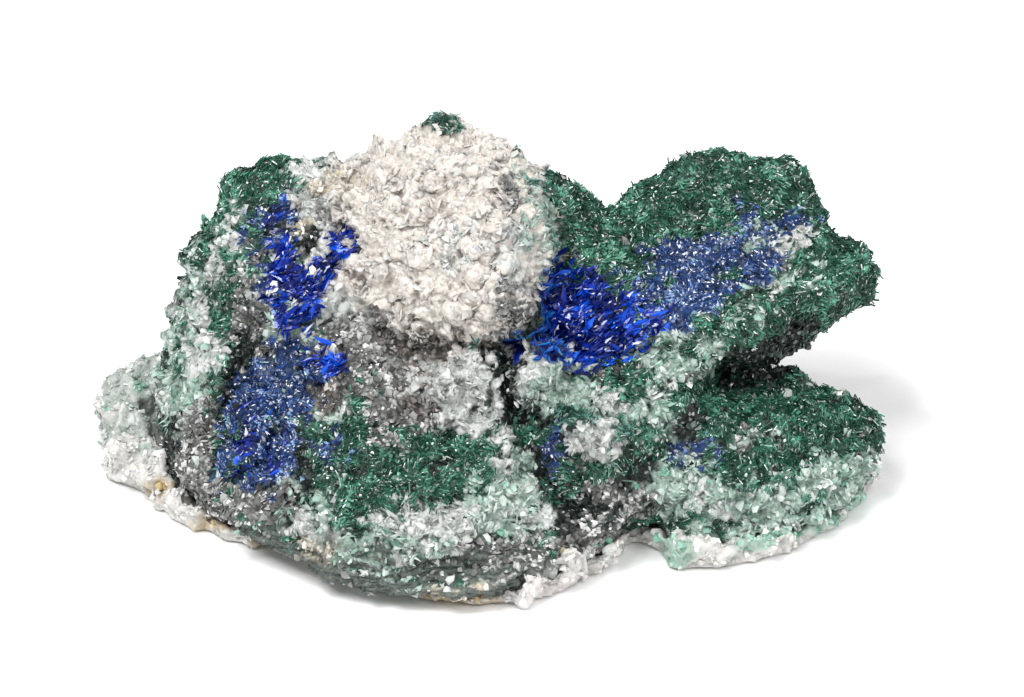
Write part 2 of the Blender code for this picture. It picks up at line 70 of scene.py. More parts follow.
class Mineral(Enum):
    """What grows at a place of the crust."""

    GREEN = "green needles"
    PALE = "pale green plates"
    GREY = "grey glassy grains"
    DUST = "fine blue blades"
    BLUE = "linarite blades"
    WHITE = "white plates"
    CREAM = "cream sugar"
    TAN = "tan sugar"
    BROWN = "brownish grains"
    # Bare dark rock, also painted near black as shade in creases, pockets and under the arm.
    BARE_AND_SHADE = "bare dark rock"


class Tint(Enum):
    """The colour of a stretch of quartz."""

    MILK = "milky white"
    # Grey quartz, and the painted shade of the left lump's upper part.
    SMOKE = "grey"
    AMBER = "amber"
    ROSE = "pinkish"
    MINT = "mint green"


@dataclass(frozen=True)
class LeaningFace:
    """The plane of the crystal face: how far it leans back, and its middle's height above the table."""

    lean: float = math.radians(30)
    height: float = 11.8

    def place(self, points: Array) -> Array:
        """Gives across, up and out on the face.

        Args:
            points: world points in millimetres, one a row.

        Returns:
            One row of (across, up, out) for each point.
        """
        level = points[:, 2] - self.height
        up = points[:, 1] * math.sin(self.lean) + level * math.cos(self.lean)
        out = level * math.sin(self.lean) - points[:, 1] * math.cos(self.lean)
        return np.stack([points[:, 0], up, out], axis=1)

    def outward(self) -> Array:
        """Gives the face's outward normal."""
        return np.array([0.0, -math.cos(self.lean), math.sin(self.lean)])


FACE = LeaningFace()


def smooth_step(low: float, high: float, values: Array) -> Array:
    """Rises smoothly from 0 at low to 1 at high.

    Args:
        low: where the rise starts.
        high: where it ends.
        values: what to read.

    Returns:
        The share from 0 to 1 for each value.
    """
    share = np.clip((values - low) / (high - low), 0.0, 1.0)
    return share * share * (3.0 - 2.0 * share)


def noise_at(points: Array, cells: float, shift: float) -> Array:
    """Reads smooth noise at each point.

    Args:
        points: world points in millimetres.
        cells: noise cells a millimetre.
        shift: moves the pattern, so that two readings differ.

    Returns:
        A value of about -1 to 1 for each point.
    """
    moved = points * cells + np.array([shift, 2.3 * shift, 5.1 * shift])
    return np.array([noise.noise(row) for row in moved.tolist()])


def clump_height(points: Array) -> Array:
    """Gives the height of rounded clumps: 0 in the creases between them, about 1 on their tops."""
    wide = np.abs(noise_at(points, 0.62, 13.0))
    narrow = np.abs(noise_at(points, 1.3, 17.0))
    return 1.5 * wide + 0.75 * narrow


def leaf_height(points: Array, step: float) -> Array:
    """Gives the height of thin overlapping leaves: noise cut into terraces with steep edges.

    Args:
        points: world points in millimetres.
        step: the height of a leaf's edge.

    Returns:
        A height of about -1 to 1 millimetre for each point.
    """
    levels = (1.1 * noise_at(points, 0.8, 51.0) + 0.7 * noise_at(points, 1.6, 57.0)) / step
    whole = np.floor(levels)
    return (whole + smooth_step(0.65, 1.0, levels - whole)) * step


def plate_height(points: Array, cells: float, tilt: float) -> Array:
    """Gives the height of flat crystal plates that each lean their own way, with steep edges between them.

    Args:
        points: world points in millimetres.
        cells: plates a millimetre.
        tilt: how steeply the plates lean.

    Returns:
        A height in millimetres for each point.
    """
    heights = []
    for point in (points * cells).tolist():
        centre = noise.voronoi(point)[1][0]
        lean = noise.cell_vector(centre)
        heights.append((Vector(point) - centre).dot(lean) + 0.3 * lean.x)
    return np.array(heights) * tilt / cells


@dataclass(frozen=True)
class Patch:
    """An elliptical stretch of the crystal face where one mineral or tint prevails."""

    across: float
    up: float
    long: float
    wide: float
    turn: float = 0.0
    strength: float = 1.0

    def hold(self, across: Array, up: Array) -> Array:
        """Says how strongly the patch holds at places on the face, most in its middle.

        Args:
            across: how far along the face each place is.
            up: how far up the face it is.

        Returns:
            The hold at each place, the patch's strength at most.
        """
        turn = math.radians(self.turn)
        off_across = across - self.across
        off_up = up - self.up
        along = (off_across * math.cos(turn) + off_up * math.sin(turn)) / self.long
        aside = (off_up * math.cos(turn) - off_across * math.sin(turn)) / self.wide
        return self.strength * np.exp(-1.1 * (along * along + aside * aside) ** 1.5)


CRUST_PATCHES: dict[Enum, list[Patch]] = {
    # Needles: the left corner and edge, the saddle, the arm, the lobe, the shelf and the knob on the mound.
    Mineral.GREEN: [
        Patch(-17.8, 13.4, 3.0, 1.7, 8, 2.9), Patch(-20.6, 10.6, 3.4, 1.2, 62, 1.4),
        Patch(-19.6, 6.6, 5.0, 1.2, 72, 1.1), Patch(-22.4, 6.0, 3.0, 0.7, 75, 0.8),
        Patch(-23.4, 0.5, 2.6, 0.8, 85, 0.7), Patch(-20.4, -4.5, 2.6, 0.9, 80, 0.6),
        Patch(8.0, 10.2, 5.0, 3.6, -18, 1.8), Patch(5.3, 12.2, 2.2, 1.2, -35, 1.6),
        Patch(12.0, 12.0, 3.5, 2.2, 30, 1.8), Patch(19.0, 13.2, 6.0, 3.0, 0, 1.8),
        Patch(26.5, 8.4, 3.2, 3.6, 0, 2.3), Patch(25.0, 4.6, 5.0, 1.8, 35, 1.9),
        Patch(18.5, -0.6, 4.0, 1.6, 25, 1.4), Patch(10.5, -2.0, 3.0, 1.4, -20, 0.8),
        Patch(24.2, -3.9, 6.6, 2.0, -6, 1.8), Patch(17.0, -3.4, 3.0, 2.0, 0, 1.3),
        Patch(21.0, -7.4, 6.0, 1.4, 6), Patch(-6.8, -9.0, 5.6, 3.8, 4, 1.9), Patch(-10.6, -6.6, 2.4, 2.6),
        Patch(-0.7, -7.0, 2.2, 1.6, 0, 0.8), Patch(4.9, -9.0, 1.4, 2.2, 0, 1.3),
        Patch(13.2, -14.4, 1.2, 1.4, 0, 1.8), Patch(11.6, -12.3, 1.4, 1.0, 0, 1.5),
        Patch(10.5, 4.6, 1.2, 3.4, -10), Patch(17.0, 2.4, 5.4, 1.5, 28, 1.5),
        Patch(24.4, 2.2, 4.4, 1.8, 38, 2.0), Patch(3.0, -5.0, 2.4, 1.4, 0, 1.1),
        Patch(8.6, -8.2, 3.4, 1.0, 20, 1.2), Patch(-18.6, -7.6, 0.9, 2.4),
        Patch(-16.2, -4.2, 0.7, 0.9, 0, 1.2), Patch(17.6, 6.2, 1.3, 0.7, 20, 1.5),
        Patch(13.0, 6.2, 0.9, 0.6, 0, 1.3), Patch(17.5, -12.6, 1.6, 0.7, 30, 2.6),
        Patch(20.5, -9.2, 3.4, 0.8, 10, 2.1), Patch(14.4, -12.2, 1.6, 0.7, 25, 2.6),
        Patch(23.8, -10.6, 1.6, 0.6, 35, 2.2), Patch(6.0, -4.4, 1.5, 0.8, 0, 2.4),
        Patch(10.8, -5.6, 1.4, 1.2, 0, 2.2), Patch(-3.3, 17.6, 1.3, 0.9, 0, 12.0),
    ],
    # Pale green plates: the left band, under the arm's crest, the fringe and the lobe's side.
    Mineral.PALE: [
        Patch(-21.8, 5.4, 7.6, 1.7, 74), Patch(-22.6, -1.2, 3.4, 1.3, 82, 1.2),
        Patch(-15.4, 2.8, 1.0, 1.8, 0, 1.1), Patch(4.2, 8.4, 0.7, 3.2, 0, 1.3),
        Patch(3.4, 11.6, 1.6, 1.8, 0, 0.9), Patch(14.6, 0.4, 4.6, 1.8, -8, 1.3),
        Patch(16.4, 2.6, 2.4, 0.8, 20, 0.6), Patch(19.0, 3.2, 4.0, 1.0, 32, 0.7),
        Patch(24.4, 7.0, 2.0, 0.9, 20, 0.7), Patch(5.2, -2.0, 1.8, 1.5, 0, 4.4),
        Patch(22.0, 10.0, 3.0, 1.6, 0, 0.5), Patch(5.6, -2.0, 2.8, 1.4, -10, 1.2),
        Patch(11.8, -3.8, 2.0, 1.8, 0, 0.9), Patch(-6.6, -13.9, 5.0, 1.3, 0, 1.5),
        Patch(0.4, -10.2, 2.6, 2.4, -50, 1.1), Patch(3.0, -8.6, 1.4, 2.8, 20, 0.9),
        Patch(20.5, -11.4, 9.0, 2.8, 10, 1.7), Patch(14.6, -9.2, 3.6, 1.8, 0, 1.3),
        Patch(27.0, -9.4, 2.8, 2.6, 20, 1.3), Patch(-11.8, -3.7, 1.1, 0.9, 0, 1.6),
        Patch(-13.4, -10.6, 2.6, 1.4, -20, 0.8), Patch(3.2, 10.6, 1.2, 3.0, 0, 4.4),
        Patch(2.0, 14.0, 1.0, 1.2, 0, 3.0), Patch(12.0, 1.6, 1.2, 0.6, 10, 2.4),
    ],
    # Fine blue blades: the left centre, the lower left, and the band along the arm.
    Mineral.DUST: [
        Patch(15.2, 3.6, 1.6, 0.6, 20, 1.5), Patch(-15.0, -1.4, 3.6, 2.8, 20, 1.4),
        Patch(-17.2, -5.8, 3.4, 4.2, 0, 1.7), Patch(-15.4, 11.4, 1.2, 2.0, 0, 1.1),
        Patch(-17.4, 9.6, 1.4, 2.8), Patch(-15.6, 5.0, 1.6, 2.8), Patch(15.8, 6.6, 5.4, 2.0, 12, 2.0),
        Patch(13.4, 8.0, 1.8, 0.9, 0, 1.6), Patch(21.4, 10.4, 3.0, 1.1, 0, 1.3),
        Patch(25.2, 9.8, 1.1, 1.4, 0, 1.2), Patch(13.2, 3.4, 2.8, 1.9, 0, 1.5),
        Patch(18.6, 12.4, 1.2, 0.9, 0, 0.9), Patch(15.4, -7.0, 2.2, 1.0, 0, 0.9),
        Patch(4.8, -6.8, 1.1, 2.4, 0, 2.0), Patch(-11.4, -6.6, 1.0, 2.2, 0, 1.6),
        Patch(5.6, 5.8, 1.2, 1.6, 0, 1.6),
    ],
    # Grey glassy grains: beside the mound, the centre, the left end and the lower front; on the mound's right
    # side they are also painted shade.
    Mineral.GREY: [
        Patch(-13.0, 10.8, 2.6, 2.4, 0, 0.7), Patch(-8.8, 1.4, 2.6, 2.6, 0, 1.9),
        Patch(-12.0, -1.6, 2.2, 1.6, 0, 0.9), Patch(-6.0, -3.8, 3.2, 2.4, 0, 1.3),
        Patch(-22.0, -6.4, 1.2, 3.4, 0, 1.6), Patch(8.4, -11.2, 3.6, 2.2, 12, 1.6),
        Patch(-17.4, -10.4, 3.0, 1.4, -14, 1.2), Patch(0.0, -14.6, 6.0, 1.0, 4),
        Patch(20.0, -13.6, 2.4, 1.1, 10, 0.9), Patch(-17.6, 3.4, 1.6, 3.2, 0, 0.9),
        # The mound's right side: grey grains, strengthened as painted shade on the side away from the light.
        Patch(1.4, 12.6, 1.2, 2.6, 20, 5.0), Patch(1.6, 4.6, 1.4, 2.4, 0, 4.6),
        Patch(22.2, -12.8, 1.2, 0.5, 10, 2.0),
    ],
    # White sugar: streaks of the mound, the tufts, patches between them, and the lower rims.
    Mineral.WHITE: [
        Patch(-13.6, 12.2, 2.6, 1.5, 0, 1.5), Patch(-12.9, 10.0, 1.0, 1.4, 0, 1.4),
        Patch(-2.2, 8.4, 2.6, 1.8, 20, 7.0), Patch(1.4, 8.2, 1.6, 3.0, 0, 5.4),
        Patch(-16.2, 5.4, 0.7, 1.2, 0, 1.5), Patch(-11.5, 4.4, 1.4, 2.0, 0, 2.6),
        Patch(-13.0, 6.4, 0.4, 0.7, 0, 3.0), Patch(-14.5, 4.3, 0.5, 0.5, 0, 3.2),
        Patch(-13.0, 3.0, 0.6, 0.8, 0, 2.2), Patch(-15.9, 8.0, 0.5, 0.9, 0, 1.6),
        Patch(-12.4, 8.6, 0.8, 0.6, 0, 1.6), Patch(23.2, 8.8, 1.6, 1.0, 15, 1.5),
        Patch(21.4, 5.2, 0.7, 0.7, 0, 1.1), Patch(9.6, -3.3, 1.2, 0.9, 0, 1.7),
        Patch(1.2, -6.6, 2.0, 1.6, 0, 1.2), Patch(-20.6, 6.2, 6.0, 1.2, 72, 1.4),
        Patch(-21.6, 0.6, 2.4, 1.0, 80, 1.6), Patch(9.2, 1.0, 0.8, 0.5, 20, 3.6),
        Patch(5.9, 0.5, 0.7, 0.4, 0, 3.2), Patch(1.8, -10.6, 1.2, 1.6, 0, 1.1),
        Patch(4.4, -11.6, 1.5, 1.1, 0, 1.7), Patch(-3.8, -12.6, 0.8, 0.9, 0, 1.2),
        Patch(-5.6, -1.8, 1.2, 1.4, 0, 1.3), Patch(-4.8, -14.4, 3.0, 0.7, 0, 1.5),
        Patch(17.8, -11.4, 0.9, 1.1, 0, 2.4), Patch(15.8, -10.4, 1.0, 0.8, 0, 2.4),
        Patch(13.4, 13.4, 1.0, 0.6), Patch(-13.8, 14.0, 2.8, 0.9, 0, 1.3),
        Patch(12.4, -2.6, 1.5, 1.0, 0, 0.8), Patch(23.5, -14.0, 5.4, 0.9, 16, 1.3),
        Patch(5.6, -15.9, 3.8, 1.3, 14, 2.2), Patch(-13.4, -12.4, 2.6, 0.8, -35, 0.9),
        Patch(-23.0, 3.4, 1.0, 1.6, 0, 0.8), Patch(-1.8, -2.4, 2.4, 2.2, 0, 5.0),
        Patch(3.0, -0.6, 1.3, 1.6, 0, 4.0), Patch(7.9, -5.9, 2.1, 1.2, 0, 4.0),
        Patch(-4.6, -11.8, 3.4, 1.4, 0, 4.0),
    ],
    # Tan sugar: beside the mound's upper left, and along the lower left rim.
    Mineral.TAN: [
        Patch(-14.2, 11.0, 0.9, 1.2, 0, 1.6), Patch(-10.8, 13.2, 2.8, 1.3, 5, 2.4),
        Patch(-11.6, 8.8, 1.2, 1.6), Patch(-12.6, -14.0, 1.6, 1.6, -40, 0.9),
        Patch(-7.0, -18.0, 4.0, 0.5, 2, 2.6), Patch(-1.6, -17.6, 2.2, 0.8, 0, 3.0),
    ],
    # Linarite: the centre, the upper left chain, the middle and the lower left.
    Mineral.BLUE: [
        Patch(5.6, 5.2, 1.8, 2.0, 0, 3.0), Patch(8.0, 2.2, 4.4, 2.2, 12, 3.4),
        Patch(3.2, 1.2, 1.6, 1.2, 30, 1.6), Patch(10.6, 3.8, 1.8, 1.6, 0, 2.0),
        Patch(-15.4, 5.6, 1.0, 3.4, 0, 1.9), Patch(-15.7, 10.4, 0.6, 2.4, 0, 1.6),
        Patch(-13.5, 4.8, 1.2, 1.9, 0, 2.6), Patch(-10.8, 8.4, 2.2, 0.9, 42, 2.8),
        Patch(-12.0, 6.6, 1.2, 0.9, 30, 2.2), Patch(-9.6, 12.6, 0.5, 0.8, 0, 1.4),
        Patch(-12.0, -0.4, 1.3, 1.2, 0, 2.6), Patch(-17.6, -4.6, 2.2, 3.2, 0, 0.9),
        Patch(-17.4, -7.6, 1.8, 1.5, 0, 1.2), Patch(-11.6, -5.8, 0.6, 1.4, 0, 1.3),
        Patch(-0.6, -3.2, 0.5, 0.5, 0, 1.3),
    ],
    # The mound's cream sugar.
    Mineral.CREAM: [
        Patch(-3.6, 10.0, 6.8, 7.6, 0, 9.0), Patch(-7.0, 14.6, 3.6, 1.8, 15, 2.6),
        Patch(2.4, -17.0, 2.0, 0.8, 0, 1.8),
    ],
    # Brownish grains at the mound's foot.
    Mineral.BROWN: [
        Patch(-5.6, 1.6, 3.4, 1.2, 0, 3.8), Patch(-5.0, -2.6, 1.6, 2.6, 0, 1.6),
        Patch(-12.0, -3.0, 1.2, 1.6, 0, 1.2),
    ],
    # Pockets, crevices and the hollow under the arm: dark rock between the crystals, painted near black as
    # shade.
    Mineral.BARE_AND_SHADE: [
        Patch(-13.4, 9.0, 0.9, 0.8, 0, 3.5), Patch(-18.7, -0.4, 3.6, 0.7, 74, 2.6),
        Patch(-23.6, -7.2, 0.9, 1.7, 0, 2.6), Patch(3.4, 2.4, 0.7, 2.0, 0, 4.0),
        Patch(1.3, -2.4, 0.7, 3.2, 0, 3.0), Patch(20.2, -0.2, 3.4, 1.5, 8, 6.0),
        Patch(21.8, 0.9, 3.8, 1.5, 30, 5.0), Patch(7.4, -11.4, 3.0, 1.4, 10, 3.6),
        Patch(3.8, -7.4, 1.2, 2.2, 0, 2.3), Patch(10.6, -8.2, 1.2, 1.6, 0, 1.4),
        Patch(2.9, -4.1, 1.5, 0.8, 0, 3.0), Patch(14.8, -4.6, 1.3, 1.3, 0, 1.8),
        Patch(-13.8, -7.8, 0.45, 2.4, 0, 2.6), Patch(4.9, -9.6, 0.8, 1.4, 0, 2.2),
        Patch(-5.2, -9.8, 1.6, 0.7, 10, 2.5), Patch(-9.4, -8.4, 1.2, 0.6, -20, 2.5),
        Patch(-3.2, -7.4, 1.2, 0.5, 15, 2.5),
    ],
}
QUARTZ_PATCHES: dict[Enum, list[Patch]] = {
    # The left lump's upper part, painted grey as its shade.
    Tint.SMOKE: [
        Patch(-27.2, -2.6, 3.6, 3.4, 0, 2.0),
    ],
    # The left lump's lower part, and the rims.
    Tint.MILK: [
        Patch(-27.0, -7.6, 2.4, 1.8, 0, 2.0), Patch(-23.4, -9.6, 2.4, 1.8, 0, 1.2),
        Patch(6.6, -15.0, 3.0, 2.0, 0, 1.4), Patch(22.0, -15.4, 8.0, 1.0, 16, 1.8),
    ],
    # Green stains on the left lump and under the lobe.
    Tint.MINT: [
        Patch(-26.4, -1.6, 0.7, 1.1, 0, 1.6), Patch(-28.6, -3.4, 0.7, 0.5, 0, 1.5),
        Patch(-25.8, -6.0, 0.5, 0.5, 0, 1.4), Patch(26.6, -11.4, 2.4, 1.2, 24, 1.8),
        Patch(20.8, -13.0, 2.4, 0.9, 10, 1.5), Patch(13.6, -14.4, 1.8, 1.2, 0, 2.0),
    ],
    # Amber stains along the lower left rim.
    Tint.AMBER: [
        Patch(-25.0, -9.7, 1.2, 0.8, 0, 1.8), Patch(-21.2, -12.4, 1.4, 0.7, 0, 2.0),
        Patch(-16.9, -13.6, 1.0, 0.6, 0, 2.0), Patch(-9.0, -18.0, 2.4, 0.6, 0, 1.2),
        Patch(-2.0, -17.8, 2.4, 0.9, 0, 2.2),
    ],
    # The pinkish stretches of the lower rim.
    Tint.ROSE: [
        Patch(-19.0, -12.8, 1.2, 0.6, 0, 1.2), Patch(3.6, -16.6, 3.0, 2.0, 0, 1.5),
    ],
}


@dataclass(frozen=True)
class PatchMap:
    """Says how strongly each kind prevails at a point, from patches and a base in front and behind."""

    patches: dict[Enum, list[Patch]]
    base: dict[Enum, tuple[float, float]]
    crease_shade_kind: Enum | None = None
    front_depth: float = 10.0
    depth_fade: float = 0.06
    away: float = -0.8
    facing: float = -0.45
    wander: float = 0.9
    contrast: float = 6.0
    least: float = 1e-4

    def drift(self, points: Array, shift: float) -> Array:
        """Reads how far the patches' edges wander at each point."""
        return self.wander * (noise_at(points, 0.55, shift) + 0.6 * noise_at(points, 1.7, shift + 20.0))

    def shares(self, points: Array, normals: Array) -> dict[Enum, Array]:
        """Reads the share of each kind at each point.

        Args:
            points: world points in millimetres.
            normals: the surface's unit normals there.

        Returns:
            For each kind, a share from 0 to 1; the shares at a point add up to 1.
        """
        place = FACE.place(points)
        across = place[:, 0] + self.drift(points, 1.0)
        up = place[:, 1] + self.drift(points, 7.0)
        depth = np.maximum(-place[:, 2] - self.front_depth, 0.0)
        seen = smooth_step(self.away, self.facing, normals @ FACE.outward() - self.depth_fade * depth)
        totals, speckles = {}, {}
        for number, (kind, (front, behind)) in enumerate(self.base.items()):
            shift = 11.0 + 3.0 * number
            speckle = 1.0 + noise_at(points, 0.5, shift) + 1.3 * noise_at(points, 1.2, shift)
            speckles[kind] = np.clip(speckle, 0.25, 2.0)
            totals[kind] = (front * seen + behind * (1.0 - seen)) * np.clip(speckle, 0.08, 3.0)
        for kind, patches in self.patches.items():
            for patch in patches:
                totals[kind] = totals[kind] + patch.hold(across, up) * seen * speckles[kind]
        # Creases between clumps get the crease kind: dark rock, painted there as shade.
        if self.crease_shade_kind:
            painted_crease_shade = smooth_step(0.24, 0.08, clump_height(points))
            totals[self.crease_shade_kind] = totals[self.crease_shade_kind] + 1.5 * painted_crease_shade * seen
        raised = {kind: np.maximum(total, self.least) ** self.contrast for kind, total in totals.items()}
        whole = sum(raised.values())
        return {kind: value / whole for kind, value in raised.items()}


CRUST_MAP = PatchMap(
    CRUST_PATCHES,
    base={
        Mineral.GREEN: (0.24, 0.50),
        Mineral.PALE: (0.22, 0.30),
        Mineral.GREY: (0.22, 0.45),
        Mineral.DUST: (0.05, 0.04),
        Mineral.BLUE: (0.01, 0.0),
        Mineral.WHITE: (0.12, 0.14),
        Mineral.CREAM: (0.01, 0.02),
        Mineral.TAN: (0.02, 0.08),
        Mineral.BROWN: (0.10, 0.28),
        Mineral.BARE_AND_SHADE: (0.05, 0.30),
    },
    crease_shade_kind=Mineral.BARE_AND_SHADE,
)
QUARTZ_MAP = PatchMap(
    QUARTZ_PATCHES,
    base={
        Tint.MILK: (0.5, 0.5),
        Tint.SMOKE: (0.25, 0.35),
        Tint.AMBER: (0.12, 0.25),
        Tint.ROSE: (0.2, 0.25),
        Tint.MINT: (0.05, 0.06),
    },
)


@dataclass(frozen=True)
class Palette:
    """The colours of one mineral's crystals, by how light each crystal is painted, with painted glints and
    painted shade at the foot.
    """

    deep: Colour
    middle: Colour
    light: Colour
    painted_glint: Colour
    painted_glint_share: float = 0.06
    # foot: how dark a crystal's foot and the ground under it are painted, as painted shade from neighbours
    foot: float = 0.55

    def colours(self, shades: Array, tips: Array) -> Array:
        """Gives a colour for each vertex.

        Args:
            shades: how light each vertex's crystal is, 0 to 1.
            tips: how near each vertex is to its crystal's tip, 0 to 1.

        Returns:
            One colour a row, darker at the foot where neighbours shade it.
        """
        stops = [0.0, 0.5, 0.99 - self.painted_glint_share, 1.0 - self.painted_glint_share]
        ramp = np.array([self.deep, self.middle, self.light, self.painted_glint])
        own = np.stack([np.interp(shades, stops, ramp[:, channel]) for channel in range(3)], axis=1)
        return own * (self.foot + (1.0 - self.foot) * np.clip(tips * 1.3, 0.0, 1.0))[:, None]

    def ground(self) -> Colour:
        """Gives the colour of the skin under the crystals, darkened by the foot as painted shade."""
        return tuple(self.foot * (0.3 * deep + 0.7 * middle) for deep, middle in zip(self.deep, self.middle))


# Each palette's last colour is a painted glint: that share of the crystals is painted near white as sparkle.
PALETTES: dict[Enum, Palette] = {
    Mineral.GREEN: Palette(
        (0.004, 0.027, 0.017), (0.022, 0.118, 0.074), (0.12, 0.35, 0.24), (0.82, 0.93, 0.88), 0.09, 0.5
    ),
    Mineral.PALE: Palette(
        (0.13, 0.34, 0.24), (0.55, 0.67, 0.60), (0.84, 0.88, 0.85), (0.97, 0.98, 0.97), 0.05, 0.8
    ),
    Mineral.GREY: Palette(
        (0.04, 0.04, 0.038), (0.28, 0.282, 0.274), (0.72, 0.72, 0.70), (0.97, 0.97, 0.97), 0.08, 0.6
    ),
    Mineral.DUST: Palette(
        (0.003, 0.013, 0.048), (0.019, 0.064, 0.24), (0.22, 0.35, 0.60), (0.90, 0.93, 0.99), 0.17, 0.7
    ),
    Mineral.BLUE: Palette(
        (0.000, 0.002, 0.03), (0.001, 0.017, 0.27), (0.003, 0.100, 0.78), (0.70, 0.74, 0.99), 0.06, 0.8
    ),
    Mineral.WHITE: Palette(
        (0.50, 0.56, 0.52), (0.83, 0.84, 0.82), (0.92, 0.92, 0.91), (0.99, 0.99, 0.99), 0.04, 0.92
    ),
    Mineral.CREAM: Palette(
        (0.70, 0.635, 0.575), (0.81, 0.76, 0.70), (0.91, 0.875, 0.83), (0.99, 0.99, 0.98), 0.04, 0.92
    ),
    Mineral.TAN: Palette(
        (0.46, 0.37, 0.22), (0.82, 0.74, 0.60), (0.92, 0.88, 0.80), (0.98, 0.97, 0.94), 0.05, 0.85
    ),
    Mineral.BROWN: Palette(
        (0.05, 0.042, 0.037), (0.28, 0.25, 0.225), (0.66, 0.63, 0.59), (0.95, 0.94, 0.93), 0.08, 0.6
    ),
    # Bare rock's colours are near black: painted shade for pockets, creases and overhangs.
    Mineral.BARE_AND_SHADE: Palette(
        (0.004, 0.008, 0.007), (0.012, 0.022, 0.018), (0.035, 0.055, 0.048), (0.5, 0.54, 0.52), 0.015, 0.5
    ),
}
# The quartz palettes' last colours are painted glints too.
QUARTZ_PALETTES: dict[Enum, Palette] = {
    Tint.MILK: Palette(
        (0.56, 0.55, 0.52), (0.79, 0.775, 0.74), (0.92, 0.91, 0.885), (0.99, 0.99, 0.99), 0.06, 0.85
    ),
    Tint.SMOKE: Palette(
        (0.26, 0.31, 0.28), (0.44, 0.50, 0.46), (0.66, 0.70, 0.67), (0.98, 0.98, 0.98), 0.08, 0.85
    ),
    Tint.AMBER: Palette(
        (0.34, 0.23, 0.09), (0.66, 0.51, 0.28), (0.86, 0.77, 0.60), (0.98, 0.96, 0.92), 0.05, 0.85
    ),
    Tint.ROSE: Palette(
        (0.56, 0.50, 0.48), (0.86, 0.81, 0.79), (0.94, 0.91, 0.90), (0.99, 0.98, 0.98), 0.06, 0.9
    ),
    Tint.MINT: Palette(
        (0.10, 0.30, 0.20), (0.30, 0.54, 0.42), (0.62, 0.78, 0.70), (0.95, 0.98, 0.96), 0.05, 0.85
    ),
}


class Value:
    """A socket that Python's arithmetic can work on."""

    def __init__(self, shader: "Shader", socket: bpy.types.NodeSocket) -> None:
        """Wraps a socket of a shader's tree."""
        self.shader = shader
        self.socket = socket

    def _math(self, operation: str, first: "Value | float", second: "Value | float") -> "Value":
        """Adds a Math node for two operands."""
        return self.shader.node("ShaderNodeMath", {"operation": operation}, {0: first, 1: second})

    def __add__(self, other: "Value | float") -> "Value":
        """Adds."""
        return self._math("ADD", self, other)

    __radd__ = __add__

    def __mul__(self, other: "Value | float") -> "Value":
        """Multiplies."""
        return self._math("MULTIPLY", self, other)

    __rmul__ = __mul__

    def __sub__(self, other: "Value | float") -> "Value":
        """Subtracts."""
        return self._math("SUBTRACT", self, other)

    def __rsub__(self, other: float) -> "Value":
        """Subtracts this from a number."""
        return self._math("SUBTRACT", other, self)

    def held(self) -> "Value":
        """Holds the value between 0 and 1."""
        return self.shader.node("ShaderNodeClamp", {}, {0: self})


